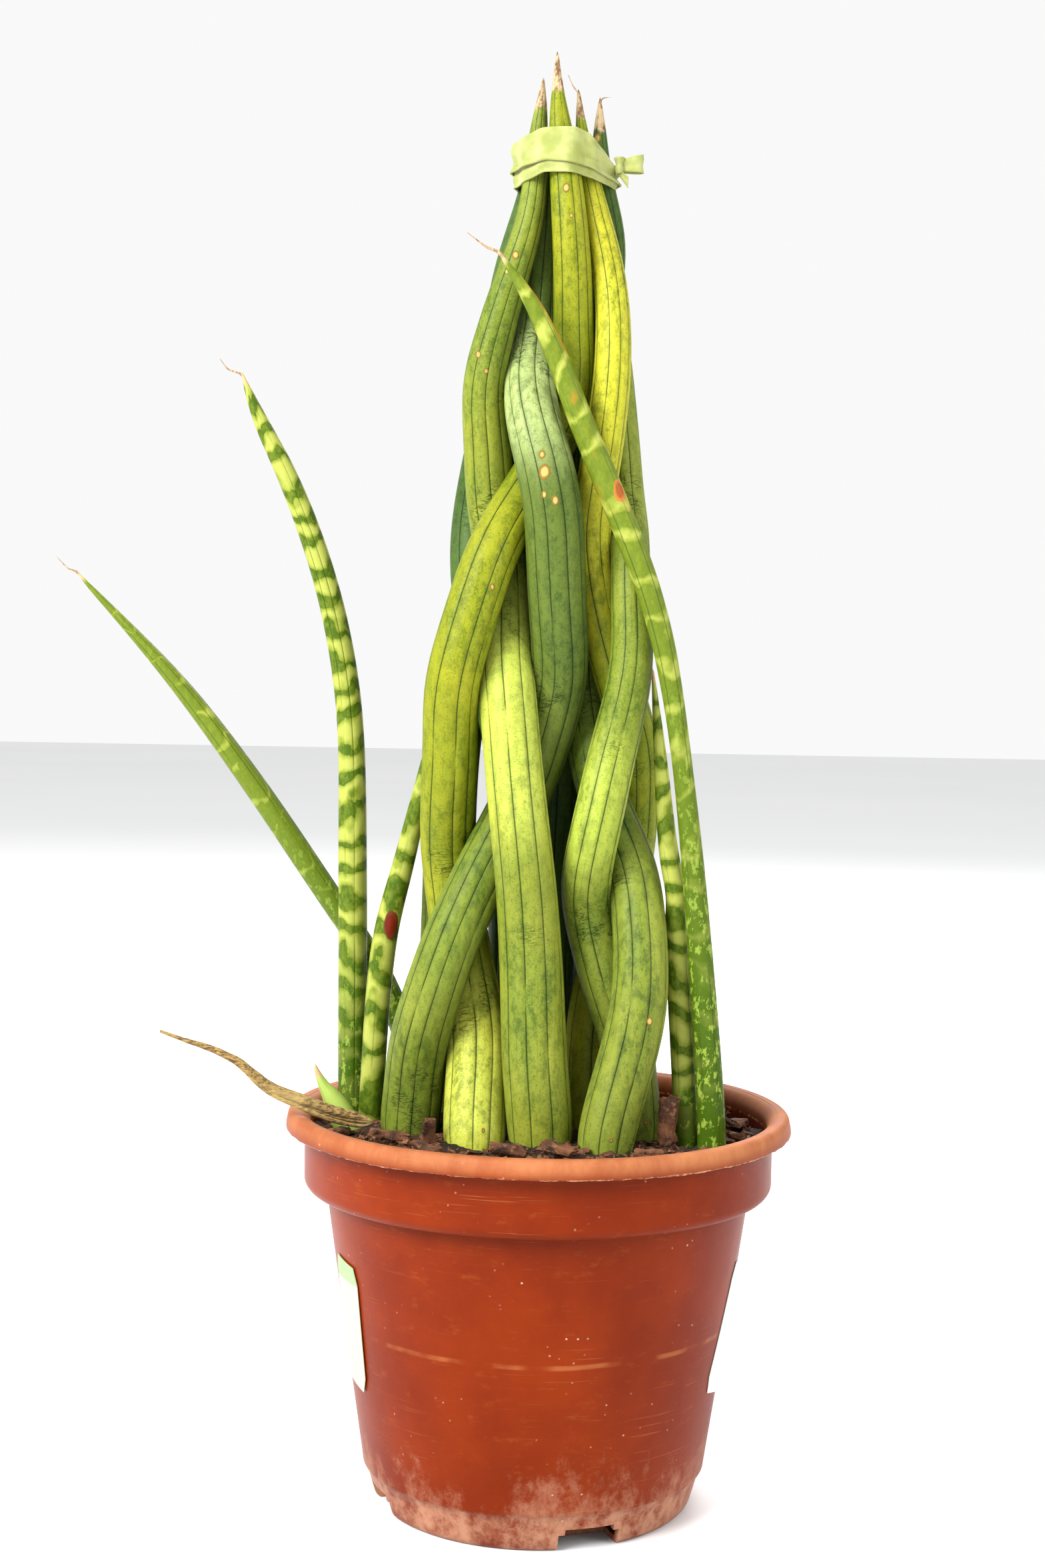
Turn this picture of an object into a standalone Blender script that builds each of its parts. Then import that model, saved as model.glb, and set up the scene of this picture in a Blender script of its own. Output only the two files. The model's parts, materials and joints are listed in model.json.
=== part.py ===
"""Potted cylindrical snake plant, its leaves plaited round each other and tied near the tips.

Metres, +Z up, the front of the plant faces -Y. The pot's axis is the Z axis and it stands on Z = 0.
"""
import math
import random

import bmesh
import bpy
import numpy as np
from mathutils import Matrix, Vector

# ---------------------------------------------------------------- driving dimensions (metres)
RIM_D = 0.190             # outside of the rolled lip
POT_H = 0.148             # ground to the top of the lip
FOOT_D = 0.1196           # bottom edge of the foot ring
WALL = 0.0022             # wall and floor
LIP_H = 0.007             # depth of the turned-down lip
BAND_H = 0.0185           # straight collar under the lip
NOTCH_W = 0.023           # drain channels under the floor
NOTCH_H = 0.0085
NOTCH_TURN = 20.0         # degrees from the front to the first channel
FILL_GAP = 0.0105         # lip top down to the soil at the wall
MOUND = 0.0045            # how far the soil rises to the middle
PLANT_TOP = 0.535         # ground to the highest leaf tip
SPREAD = 1.0              # width of the plait, 1 = as potted
LEAF_FAT = 1.0            # thickness of the leaves, 1 = as grown
BURIED = 0.0115           # how deep the leaf bases stand in the soil
TIE_H = 0.0185            # height of the ribbon round the tips
TIE_T = 0.0013            # its folded thickness
GAP = 0.0003              # clearance between touching pieces
LEAF_GAP = 0.0012         # closest two leaf centre lines come, beyond their radii
SEGMENTS = 56
SIDES = 8                 # round a plaited leaf
RINGS = 38                # along a plaited leaf

SOIL_EDGE = POT_H - FILL_GAP
# a longer, thicker or more crowded plait bends more between two stations, so its leaves keep wider apart
LEAF_ROOM = LEAF_GAP * max(1.0, (PLANT_TOP - SOIL_EDGE) / 0.3975) * max(1.0, LEAF_FAT)**3 * max(1.0, 0.190 / RIM_D)**3
ROUTE_SOIL, ROUTE_TOP = 138.0, 533.0      # the routes below run between these two heights, in mm

# Centre lines in mm, tip first: (across, depth, height, radius). Front is minus in depth.
PLAIT = {
    # left front plait
    "leaf_plait_a1": [(-5, -8, 525, 0.5), (-5, -8, 517, 2.4), (-7, -8, 503, 3.8), (-8, -10, 477, 4.9),
                      (-19, -9, 442, 6.8), (-23, -4, 412, 7.9), (-22, 0, 383, 9.2), (-17, 1, 345, 10.0),
                      (-14, -20, 305, 10.4), (-9, -30, 256, 10.6), (-4, -31, 211, 11.3), (-2, -31, 165, 11.9)],
    "leaf_plait_a2": [(-2, 1, 506, 2.2), (-3, 1, 486, 3.7), (-5, 3, 450, 6.9), (-7, -3, 412, 9.6),
                      (-2, -16, 383, 10.5), (3, -20, 350, 10.6), (4, -14, 313, 10.4), (-3, -7, 276, 10.4),
                      (-22, -16, 240, 10.3), (-36, -23, 205, 10.6), (-46, -13, 160, 11.1)],
    "leaf_plait_a3": [(0, -12, 533, 0.6), (0, -12, 520, 2.2), (2, -12, 505, 4.8), (6, -14, 474, 6.5),
                      (8, -12, 440, 7.3), (5, -2, 408, 8.2), (-9, -9, 376, 9.2), (-21, -24, 354, 9.7),
                      (-30, -24, 320, 9.9), (-35, -18, 275, 10.1), (-33, -5, 226, 10.5), (-26, -12, 185, 11.1),
                      (-22, -28, 153, 11.5)],
    # right front plait
    "leaf_plait_b1": [(8, -8, 521, 0.5), (9, -8, 508, 2.3), (13, -9, 485, 4.4), (21, -11, 450, 6.1),
                      (21, -12, 407, 7.0), (16, -8, 362, 7.9), (20, -1, 322, 8.3), (32, -1, 280, 8.4),
                      (32, -1, 240, 8.7), (22, -2, 193, 9.4), (19, -8, 155, 9.7)],
    "leaf_plait_b2": [(10, 3, 506, 1.9), (12, 4, 485, 3.1), (20, 5, 445, 5.8), (26, 1, 393, 6.9),
                      (28, -13, 350, 7.1), (31, -21, 314, 7.8), (23, -24, 276, 8.8), (18, -21, 242, 9.1),
                      (22, -11, 205, 9.4), (31, -8, 175, 9.4), (35, -14, 150, 9.4)],
    "leaf_plait_b3": [(5, 4, 505, 1.8), (8, 9, 470, 4.2), (13, 8, 414, 6.2), (14, 6, 364, 7.5),
                      (15, 0, 308, 8.5), (22, -4, 268, 8.9), (33, -17, 236, 9.6), (36, -29, 208, 9.9),
                      (34, -33, 183, 10.5), (25, -38, 150, 10.4)],
    # left back plait
    "leaf_plait_c1": [(-8, 1, 505, 1.9), (-9, 3, 486, 3.8), (-17, 7, 457, 5.7), (-22, 13, 410, 7.4),
                      (-28, 11, 355, 9.0), (-23, 15, 318, 9.5), (-14, 24, 285, 10.0), (-11, 31, 245, 10.4),
                      (-10, 30, 158, 10.8)],
    "leaf_plait_c2": [(-5, 8, 505, 1.7), (-8, 13, 464, 4.8), (-12, 24, 405, 7.4), (-17, 33, 340, 9.2),
                      (-29, 31, 308, 9.6), (-35, 22, 278, 9.8), (-36, 12, 232, 10.1), (-36, 18, 154, 10.8)],
    "leaf_plait_c3": [(0, 7, 505, 1.7), (1, 12, 464, 4.6), (1, 18, 415, 6.8), (3, 14, 350, 8.1),
                      (5, 14, 290, 8.9), (3, 15, 230, 9.3), (1, 27, 158, 9.9)],
    # right back plait
    "leaf_plait_d1": [(16, 0, 520, 0.5), (16, 0, 510, 2.8), (16, 0, 498, 3.3), (19, 5, 460, 4.6),
                      (23, 15, 389, 7.0), (27, 23, 340, 7.8), (26, 32, 300, 8.4), (23, 32, 250, 9.0),
                      (21, 29, 157, 9.8)],
    "leaf_plait_d2": [(4, 11, 506, 1.7), (8, 16, 464, 4.5), (9, 17, 410, 6.4), (16, 17, 355, 7.8),
                      (26, 15, 310, 8.5), (26, 15, 233, 9.4), (35, 17, 156, 10.0)],
    "leaf_plait_d3": [(10, 10, 506, 1.7), (14, 18, 464, 4.3), (15, 30, 405, 6.7), (7, 38, 330, 8.4),
                      (7, 41, 270, 8.8), (8, 46, 155, 9.6)],
}

YOUNG = {
    "leaf_young_right": [(-20, -29, 460, 0.6), (-10, -28, 447, 2.6), (-2, -27, 433, 3.7), (12, -27, 398, 4.6),
                         (28, -30, 362, 4.8), (41, -31, 326, 4.2), (49, -31, 283, 3.6), (56, -30, 225, 4.4),
                         (62, -28, 158, 5.2)],
    "leaf_young_slim": [(39, -14, 312, 0.5), (42, -17, 283, 2.3), (46, -21, 242, 3.7), (50, -23, 203, 4.3),
                        (54, -25, 150, 4.3)],
    "leaf_young_left": [(-121, 26, 422, 0.6), (-114, 26, 405, 2.9), (-101, 26, 380, 4.0), (-86, 26, 338, 4.6),
                        (-78, 26, 295, 5.0), (-76, 26, 235, 5.5), (-75, 26, 150, 5.6)],
    "leaf_young_inner": [(-41, 2, 298, 0.6), (-44, 5, 278, 2.4), (-52, 9, 242, 3.9), (-60, 10, 208, 4.7),
                         (-64, 10, 150, 4.6)],
    "leaf_young_leaning": [(-187, 51, 347, 0.6), (-166, 49, 326, 2.0), (-142, 47, 300, 3.7),
                           (-113, 43, 263, 4.6), (-86, 40, 225, 4.8), (-62, 37, 190, 4.8), (-49, 35, 156, 5.0)],
    "shoot_young": [(-85, -4, 163, 0.6), (-82, -4, 156, 2.0), (-77, -4, 148, 4.4), (-71, -4, 138, 5.2)],
}

# Pieces of bark mulch lying on the soil, in mm: (across, depth, length, width, thickness, turn, tip up).
BARK = [
    (47, -33, 19, 8, 4.0, 80, 84), (73, -14, 6, 4, 3.0, 20, 10), (60, -44, 5, 5, 4.0, 35, 0),
    (-36, -38, 12, 6, 3.5, 95, 60), (-52, -34, 15, 8, 4.0, 20, 8), (-40, -52, 13, 7, 4.0, -30, 5),
    (-12, -56, 14, 8, 4.5, 15, 6), (8, -52, 15, 7, 4.0, -25, 8), (40, -56, 14, 8, 4.5, 40, 5),
    (72, -34, 13, 8, 4.0, -50, 6), (76, 6, 14, 7, 4.0, 70, 5), (66, 28, 16, 9, 4.5, 15, 7),
    (42, 56, 15, 8, 4.0, -20, 6), (0, 72, 16, 9, 4.5, 10, 5), (-34, 62, 15, 8, 4.0, 40, 6),
    (-76, -22, 11, 6, 3.5, 60, 5), (62, -6, 12, 7, 4.0, -10, 9),
]


# ---------------------------------------------------------------- scene, materials, helpers
for old in list(bpy.data.objects):
    bpy.data.objects.remove(old, do_unlink=True)

PARTS = bpy.data.collections.new("potted_snake_plant")
TOOLS = bpy.data.collections.new("cutters")
for col in (PARTS, TOOLS):
    bpy.context.scene.collection.children.link(col)


def material(name, colour, roughness, metallic=0.0):
    mat = bpy.data.materials.new(name)
    mat.use_nodes = True
    bsdf = mat.node_tree.nodes["Principled BSDF"]
    bsdf.inputs["Base Color"].default_value = (*colour, 1.0)
    bsdf.inputs["Roughness"].default_value = roughness
    bsdf.inputs["Metallic"].default_value = metallic
    mat.diffuse_color = (*colour, 1.0)
    return mat


def keep(obj, mat):
    PARTS.objects.link(obj)
    obj.data.materials.append(mat)
    return obj


def as_tool(obj):
    TOOLS.objects.link(obj)
    obj.hide_render = True
    obj.display_type = "WIRE"
    return obj


def modifier(obj, kind, **settings):
    mod = obj.modifiers.new(kind.title(), kind)
    for key, value in settings.items():
        setattr(mod, key, value)
    mod.show_viewport = mod.show_render = True
    return mod


def boolean(obj, tool, operation="DIFFERENCE"):
    return modifier(obj, "BOOLEAN", operation=operation, solver="EXACT", object=tool)


def mesh_object(name, build):
    """A mesh object whose bmesh is filled by build(bm)."""
    bm = bmesh.new()
    build(bm)
    bmesh.ops.recalc_face_normals(bm, faces=bm.faces)
    mesh = bpy.data.meshes.new(name)
    bm.to_mesh(mesh)
    bm.free()
    return bpy.data.objects.new(name, mesh)


def lathe(name, profile, segments=SEGMENTS):
    """Turn a profile of (radius, height) points round the Z axis with a Screw modifier."""
    mesh = bpy.data.meshes.new(name)
    points = [(r, 0.0, z) for r, z in profile]
    mesh.from_pydata(points, [(i, i + 1) for i in range(len(points) - 1)], [])
    obj = bpy.data.objects.new(name, mesh)
    modifier(obj, "SCREW", axis="Z", angle=math.tau, steps=segments, render_steps=segments,
             use_merge_vertices=True, merge_threshold=0.00001)
    return obj


def box(name, size, matrix):
    def build(bm):
        bmesh.ops.create_cube(bm, size=1.0, matrix=matrix @ Matrix.Diagonal((*size, 1.0)))
    return mesh_object(name, build)


def arc(centre, radius, start, end, steps):
    """Points on an arc of a profile, angles in degrees."""
    return [(centre[0] + radius * math.cos(math.radians(start + (end - start) * i / steps)),
             centre[1] + radius * math.sin(math.radians(start + (end - start) * i / steps)))
            for i in range(steps + 1)]


def tube(name, centres, radii, sides):
    """A closed round tube through the centres, as a bevelled curve with caps."""
    curve = bpy.data.curves.new(name, "CURVE")
    curve.dimensions = "3D"
    curve.bevel_mode = "ROUND"
    curve.bevel_depth = 1.0
    curve.bevel_resolution = sides // 2 - 2
    curve.use_fill_caps = True
    curve.twist_mode = "MINIMUM"
    spline = curve.splines.new("POLY")
    spline.points.add(len(centres) - 1)
    for point, co, r in zip(spline.points, centres, radii):
        point.co = (*co, 1.0)
        point.radius = r
    return bpy.data.objects.new(name, curve)


# ---------------------------------------------------------------- leaf routes
def through(points, count):
    """Evenly spaced samples of a smooth curve through hand-set points, radius included."""
    pts = np.array(points, dtype=float)
    chord = np.concatenate([[0.0], np.cumsum(np.linalg.norm(np.diff(pts[:, :3], axis=0), axis=1))])
    slope = np.zeros_like(pts)
    slope[1:-1] = (pts[2:] - pts[:-2]) / (chord[2:] - chord[:-2])[:, None]
    slope[0] = (pts[1] - pts[0]) / (chord[1] - chord[0])
    slope[-1] = (pts[-1] - pts[-2]) / (chord[-1] - chord[-2])
    out = []
    for s in np.linspace(0.0, chord[-1], count):
        i = min(int(np.searchsorted(chord, s, side="right")) - 1, len(pts) - 2)
        h = chord[i + 1] - chord[i]
        t = (s - chord[i]) / h
        out.append((2 * t**3 - 3 * t**2 + 1) * pts[i] + (t**3 - 2 * t**2 + t) * h * slope[i]
                   + (3 * t**2 - 2 * t**3) * pts[i + 1] + (t**3 - t**2) * h * slope[i + 1])
    return np.array(out)


def to_size(points):
    """Routes are set in mm for one plant; fit them to the driving dimensions, in metres."""
    lift = (PLANT_TOP - SOIL_EDGE) / (ROUTE_TOP - ROUTE_SOIL)
    side = (RIM_D / 190.0)
    return [(x * SPREAD * side, y * SPREAD * side, SOIL_EDGE + (z - ROUTE_SOIL) * lift, r * LEAF_FAT / 1000.0)
            for x, y, z, r in points]


def with_base(points):
    """Carry the last stretch of a leaf straight on down into the soil."""
    (x0, y0, z0, _), (x1, y1, z1, r1) = points[-2:]
    low = SOIL_EDGE - BURIED
    lean = 0.5 * (z1 - low) / max(z0 - z1, 0.005)
    return points + [(x1 + (x1 - x0) * lean, y1 + (y1 - y0) * lean, low, r1)]


def settle(leaves, rounds=300):
    """Ease the leaves apart until no two overlap. They give way in depth first, the back ones most."""
    count = len(next(iter(leaves.values())))
    names = list(leaves)
    place = np.concatenate([leaves[n][:, :3] for n in names])
    radius = np.concatenate([leaves[n][:, 3] for n in names])
    owner = np.repeat(np.arange(len(names)), count)
    give = np.repeat([1.0 if n.startswith(("leaf_plait_c", "leaf_plait_d")) else 0.3 for n in names], count)
    share = 2 * give[:, None] / (give[:, None] + give[None, :])
    apart = owner[:, None] != owner[None, :]
    reach = np.where(apart, radius[:, None] + radius[None, :] + LEAF_ROOM, 0.0)
    inside = RIM_D / 2 - 0.0125
    for turn in range(6 * rounds):
        early = turn < rounds * 0.6
        freedom = np.array([0.15, 1.4, 0.1]) if early else np.array([0.6, 1.0, 0.3])
        away = place[:, None, :] - place[None, :, :]
        gap = np.sqrt((away**2).sum(axis=2)) + 1e-9
        lack = np.where(apart, np.clip(reach - gap, 0.0, None), 0.0)
        push = (away / gap[:, :, None] * (lack * share)[:, :, None]).sum(axis=1) * freedom
        hits = np.maximum((lack > 0).sum(axis=1), 1)[:, None]
        step = push / hits**0.7
        low = place[:, 2] < POT_H + 0.004
        out = np.sqrt(place[:, 0]**2 + place[:, 1]**2) + radius - inside
        pull = np.where(low, np.clip(out, 0.0, None), 0.0)
        for i in range(len(names)):
            part = slice(i * count, (i + 1) * count)
            move = step[part]
            for _ in range(2 if early else 1):
                move = np.concatenate([move[:1], (move[:-2] + 2 * move[1:-1] + move[2:]) / 4, move[-1:]])
            place[part] += move * 0.7
            lean_in = pull[part].max()
            if lean_in > 0:
                base = place[part][-1]
                flat = np.hypot(base[0], base[1])
                place[part][:, 0] -= base[0] / flat * lean_in
                place[part][:, 1] -= base[1] / flat * lean_in
        if lack.max() < (0.00008 if turn < rounds else 0.00015):
            break
    return {n: np.column_stack([place[i * count:(i + 1) * count], radius[i * count:(i + 1) * count]])
            for i, n in enumerate(names)}


LEAVES = settle({name: through(with_base(to_size(pts)), 72) for name, pts in {**PLAIT, **YOUNG}.items()})


def rings_of(name, count):
    line = LEAVES[name]
    at = np.linspace(0, len(line) - 1, count)
    return np.column_stack([np.interp(at, np.arange(len(line)), line[:, k]) for k in range(4)])


# ---------------------------------------------------------------- pot
TERRACOTTA = material("pot_terracotta_plastic", (0.36, 0.075, 0.03), 0.45)
r_lip = RIM_D / 2
r_foot = FOOT_D / 2
r_band = r_lip - 0.0072                   # collar, outside
z_lip = POT_H - LIP_H
z_band = z_lip - BAND_H
z_seam = 0.0143
r_seam = r_foot + 0.0045
r_wall = r_band - 0.0086                  # top of the tapered wall, under the shoulder
z_wall = z_band - 0.0065

outer = [(r_lip - 0.0030, POT_H)]
outer += arc((r_lip - 0.0030, POT_H - 0.0020), 0.0020, 70, 10, 2)
outer += [(r_lip, z_lip), (r_lip - WALL * 0.7, z_lip), (r_lip - WALL * 1.2, POT_H - 0.0024),
          (r_band + 0.0004, POT_H - 0.0024), (r_band, z_band)]
outer += arc((r_band - 0.0045, z_band), 0.0045, -20, -70, 2)
outer += [(r_wall, z_wall), (r_seam, z_seam), (r_seam - 0.0010, z_seam - 0.0006),
          (r_foot, 0.0020), (r_foot - 0.0010, 0.0013), (r_foot - 0.0022, 0.0), (0.0, 0.0)]
inner = [(0.0, WALL), (r_foot - 0.0030, WALL), (r_seam - WALL, z_seam), (r_wall - WALL, z_wall + 0.0010),
         (r_band - WALL - 0.0010, z_band + 0.0010), (r_band - WALL, z_band + 0.0040),
         (r_band - WALL, POT_H - 0.0040)]
inner += arc((r_band - WALL + 0.0040, POT_H - 0.0040), 0.0040, 150, 90, 2)
profile = outer + inner + [outer[0]]
pot = keep(lathe("pot", profile), TERRACOTTA)

half_wall = WALL / 2                      # the ridges end inside the wall and the floor
within = as_tool(lathe("tool_wall_envelope", [(0.0, 0.020), (r_seam - half_wall, 0.020), (r_seam - half_wall, z_seam),
                                              (r_foot - half_wall - 0.0008, half_wall), (0.0, half_wall)]))
for i in range(4):
    turn = Matrix.Rotation(math.radians(NOTCH_TURN + 90 * i), 4, "Z")
    reach = r_seam + 0.010
    ridge = as_tool(box(f"tool_ridge_{i}", (NOTCH_W + 2 * WALL, reach - 0.0225, NOTCH_H + WALL),
                        turn @ Matrix.Translation((0, -(0.0225 + reach) / 2, (NOTCH_H + WALL) / 2))))
    boolean(ridge, within, "INTERSECT")
    boolean(pot, ridge, "UNION")
for i in range(4):
    turn = Matrix.Rotation(math.radians(NOTCH_TURN + 90 * i), 4, "Z")
    reach = r_seam + 0.010
    channel = as_tool(box(f"tool_channel_{i}", (NOTCH_W, reach - 0.025, NOTCH_H + 0.005),
                          turn @ Matrix.Translation((0, -(0.025 + reach) / 2, (NOTCH_H - 0.005) / 2))))
    boolean(pot, channel)

    def drain(bm, turn=turn):
        bmesh.ops.create_cone(bm, cap_ends=True, segments=12, radius1=0.004, radius2=0.004, depth=0.02,
                              matrix=turn @ Matrix.Translation((0, -0.043, NOTCH_H)))
    boolean(pot, as_tool(mesh_object(f"tool_drain_{i}", drain)))


# ---------------------------------------------------------------- soil
SOIL = material("soil_potting_mix", (0.035, 0.020, 0.011), 0.95)


def wall_inside(z):
    """Radius of the pot's inside at a height."""
    heights = [p[1] for p in inner]
    return float(np.interp(z, heights, [p[0] for p in inner]))


def soil_top(r):
    """Height of the soil at a distance from the axis."""
    t = min(r / (r_band - WALL), 1.0)
    return SOIL_EDGE + MOUND * (1 - t * t)


soil_floor = NOTCH_H + WALL + GAP
r_soil = wall_inside(SOIL_EDGE) - GAP
soil_profile = [(0.0, soil_top(0.0))]
soil_profile += [(r_soil * k / 5, soil_top(r_soil * k / 5)) for k in range(1, 5)]
soil_profile += [(r_soil, SOIL_EDGE), (r_band - WALL - GAP, z_band + 0.0045),
                 (r_band - WALL - 0.0010 - GAP * 2, z_band + 0.0014), (r_wall - WALL - GAP * 1.5, z_wall + 0.0010),
                 (wall_inside(soil_floor) - GAP * 2, soil_floor), (0.0, soil_floor)]
soil = keep(lathe("soil", soil_profile, 48), SOIL)


# ---------------------------------------------------------------- leaves
GREEN = material("leaf_green", (0.22, 0.33, 0.07), 0.42)
GREEN_BLUE = material("leaf_blue_green", (0.13, 0.24, 0.09), 0.42)
GREEN_YELLOW = material("leaf_yellow_green", (0.42, 0.48, 0.07), 0.42)
PALE = material("leaf_young_green", (0.42, 0.52, 0.16), 0.40)
SKIN = {"leaf_plait_a1": GREEN_YELLOW, "leaf_plait_a3": GREEN_YELLOW, "leaf_plait_b1": GREEN_YELLOW,
        "leaf_plait_a2": GREEN_BLUE, "leaf_plait_b3": GREEN_BLUE, "leaf_plait_c2": GREEN_BLUE}

for name in LEAVES:
    plaited = name in PLAIT
    sides = SIDES if plaited else 8
    line = rings_of(name, RINGS if plaited else (10 if name == "shoot_young" else 17))
    keep(tube(name, line[:, :3], line[:, 3], sides), SKIN.get(name, GREEN) if plaited else PALE)
    # its socket in the soil, along the same rings and a little deeper
    first = max(i for i in range(len(line)) if line[i][2] > SOIL_EDGE + MOUND + 0.002)
    low = line[max(first - 1, 0):].copy()
    low[-1][2] -= GAP
    socket = tube(name + "_socket", low[:, :3], (low[:, 3] + GAP) / math.cos(math.pi / 20), 20)
    TOOLS.objects.link(socket)
    bpy.context.view_layer.update()
    solid = bpy.data.meshes.new_from_object(socket.evaluated_get(bpy.context.evaluated_depsgraph_get()))
    bpy.data.objects.remove(socket, do_unlink=True)
    boolean(soil, as_tool(bpy.data.objects.new("tool_" + name, solid)))


# ---------------------------------------------------------------- ribbon tie
RIBBON = material("tie_green_ribbon", (0.33, 0.50, 0.14), 0.75)
tie_top = SOIL_EDGE + (506.0 - ROUTE_SOIL) * (PLANT_TOP - SOIL_EDGE) / (ROUTE_TOP - ROUTE_SOIL)
tie_low = tie_top - TIE_H


def hull(points):
    """Convex outline of 2-D points, anticlockwise."""
    pts = sorted({(round(x, 7), round(y, 7)) for x, y in points})

    def half(seq):
        side = []
        for p in seq:
            while len(side) > 1 and ((side[-1][0] - side[-2][0]) * (p[1] - side[-2][1])
                                     - (side[-1][1] - side[-2][1]) * (p[0] - side[-2][0])) <= 0:
                side.pop()
            side.append(p)
        return side[:-1]
    return half(pts) + half(pts[::-1])


def bundle(low, high, grow):
    """Outline of the leaves between two heights, as evenly spaced points grown outwards."""
    spots = []
    for name in PLAIT:
        line = LEAVES[name][::-1]
        for z in np.linspace(low - 0.0006, min(high + 0.0006, line[-1][2]), 9):
            x, y, r = (float(np.interp(z, line[:, 2], line[:, k])) for k in (0, 1, 3))
            spots += [(x + (r + 0.0003) * math.cos(a), y + (r + 0.0003) * math.sin(a))
                      for a in np.linspace(0, math.tau, 24, endpoint=False)]
    edge = np.array(hull(spots) + hull(spots)[:1])
    run = np.concatenate([[0.0], np.cumsum(np.linalg.norm(np.diff(edge, axis=0), axis=1))])
    at = np.linspace(0, run[-1], 40, endpoint=False)
    ring = np.column_stack([np.interp(at, run, edge[:, 0]), np.interp(at, run, edge[:, 1])])
    out = np.roll(ring, -1, axis=0) - np.roll(ring, 1, axis=0)
    out = np.column_stack([out[:, 1], -out[:, 0]]) / np.linalg.norm(out, axis=1)[:, None]
    return ring + out * grow


tie_in = bundle(tie_low, tie_top, GAP)
tie_out = bundle(tie_low, tie_top, GAP + TIE_T)
fold_out = bundle(tie_low, tie_top, GAP + TIE_T * 1.5)


def build_tie(bm):
    """Upper band of the ribbon and the thicker folded strip along its lower edge."""
    z_fold = tie_low + TIE_H * 0.36
    loops = [(tie_in, tie_low), (tie_in, tie_top), (tie_out, tie_top), (tie_out, z_fold + 0.0004),
             (fold_out, z_fold), (fold_out, tie_low)]
    rings = [[bm.verts.new((x, y, z)) for x, y in ring] for ring, z in loops]
    for a, b in zip(rings, rings[1:] + rings[:1]):
        for k in range(len(a)):
            n = (k + 1) % len(a)
            bm.faces.new((a[k], a[n], b[n], b[k]))


keep(mesh_object("tie_ribbon", build_tie), RIBBON)

side = max(range(len(fold_out)), key=lambda k: fold_out[k][0] - 0.6 * fold_out[k][1])
knot_at = Vector((fold_out[side][0], fold_out[side][1], (tie_low + tie_top) / 2 - 0.0015))
outward = Vector((fold_out[side][0] - tie_in[:, 0].mean(), fold_out[side][1] - tie_in[:, 1].mean(), 0)).normalized()
face = Matrix.Rotation(math.atan2(outward.y, outward.x), 4, "Z")


def build_knot(bm):
    """The knot, a soft lump a little flattened against the ribbon."""
    bmesh.ops.create_uvsphere(bm, u_segments=14, v_segments=9, radius=1.0,
                              matrix=Matrix.Translation(knot_at + outward * 0.0036) @ face
                              @ Matrix.Diagonal((0.0031, 0.0046, 0.0041, 1.0)))
    for v in bm.verts:
        v.co += outward * max(0.0, 0.0005 - (v.co - knot_at).dot(outward))


keep(mesh_object("tie_knot", build_knot), RIBBON)


# ---------------------------------------------------------------- dried leaf over the rim
STRAW = material("dried_leaf", (0.52, 0.34, 0.14), 0.85)
DRIED = [(-137, -40, 180, 0.5), (-111, -34, 169, 1.2), (-99, -30, 158, 2.0), (-88, -27, 153, 2.5),
         (-74, -23, 147, 2.6), (-62, -19, 144.2, 2.2)]


def build_dried(bm):
    """A flat strap, 2 mm thick along the middle, laid across the rim."""
    line = through([(x * RIM_D / 190, y * RIM_D / 190, POT_H + (z - 148.0) / 1000.0, r / 1000.0)
                    for x, y, z, r in DRIED], 15)
    rings = []
    for k, (x, y, z, r) in enumerate(line):
        along = Vector(line[min(k + 1, 14)][:3]) - Vector(line[max(k - 1, 0)][:3])
        across = along.cross(Vector((0, 0, 1))).normalized()
        up = across.cross(along).normalized()
        centre = Vector((x, y, z + 0.0008))
        rings.append([bm.verts.new(centre + across * (r * c) + up * (min(r, 0.0010) * s))
                      for c, s in ((1, 0), (0.5, 0.8), (-0.5, 0.8), (-1, 0), (-0.5, -0.6), (0.5, -0.6))])
    for a, b in zip(rings, rings[1:]):
        for k in range(6):
            bm.faces.new((a[k], a[(k + 1) % 6], b[(k + 1) % 6], b[k]))
    bm.faces.new(rings[0][::-1])
    bm.faces.new(rings[-1])


keep(mesh_object("dried_leaf", build_dried), STRAW)


# ---------------------------------------------------------------- blank plant labels on the pot
LABEL = material("label_paper", (0.72, 0.74, 0.55), 0.6)


def build_label(turn, tilt, width, height, middle):
    """A blank sticker bent round the tapered wall, with rounded corners."""
    corner = 0.003

    def build(bm):
        rows, cols = 9, 5
        slope = (r_wall - r_seam) / (z_wall - z_seam)
        grid = []
        for i in range(rows):
            v = (i / (rows - 1) - 0.5) * height
            edge = abs(v) - (height / 2 - corner)
            half = width / 2 - (corner - math.sqrt(max(corner**2 - edge**2, 0.0)) if edge > 0 else 0.0) * 0.8
            row = []
            for j in range(cols):
                u = (j / (cols - 1) * 2 - 1) * half
                across = u * math.cos(tilt) - v * math.sin(tilt)
                z = middle + u * math.sin(tilt) + v * math.cos(tilt)
                r = r_seam + (z - z_seam) * slope + GAP + 0.00005
                a = turn + across / r
                row.append(bm.verts.new((r * math.sin(a), -r * math.cos(a), z)))
            grid.append(row)
        for low, high in zip(grid, grid[1:]):
            for j in range(cols - 1):
                bm.faces.new((low[j], low[j + 1], high[j + 1], high[j]))
    return build


for name, turn, tilt, width, height, share in (
        ("label_left", math.radians(-68.0), math.radians(-6.0), 0.021, 0.048, 0.567),
        ("label_right", math.radians(77.0), math.radians(-14.0), 0.021, 0.048, 0.548)):
    middle = z_seam + (z_wall - z_seam) * share
    patch = keep(mesh_object(name, build_label(turn, tilt, width, height, middle)), LABEL)
    modifier(patch, "SOLIDIFY", thickness=0.00025, offset=1.0, use_even_offset=True)


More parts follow.
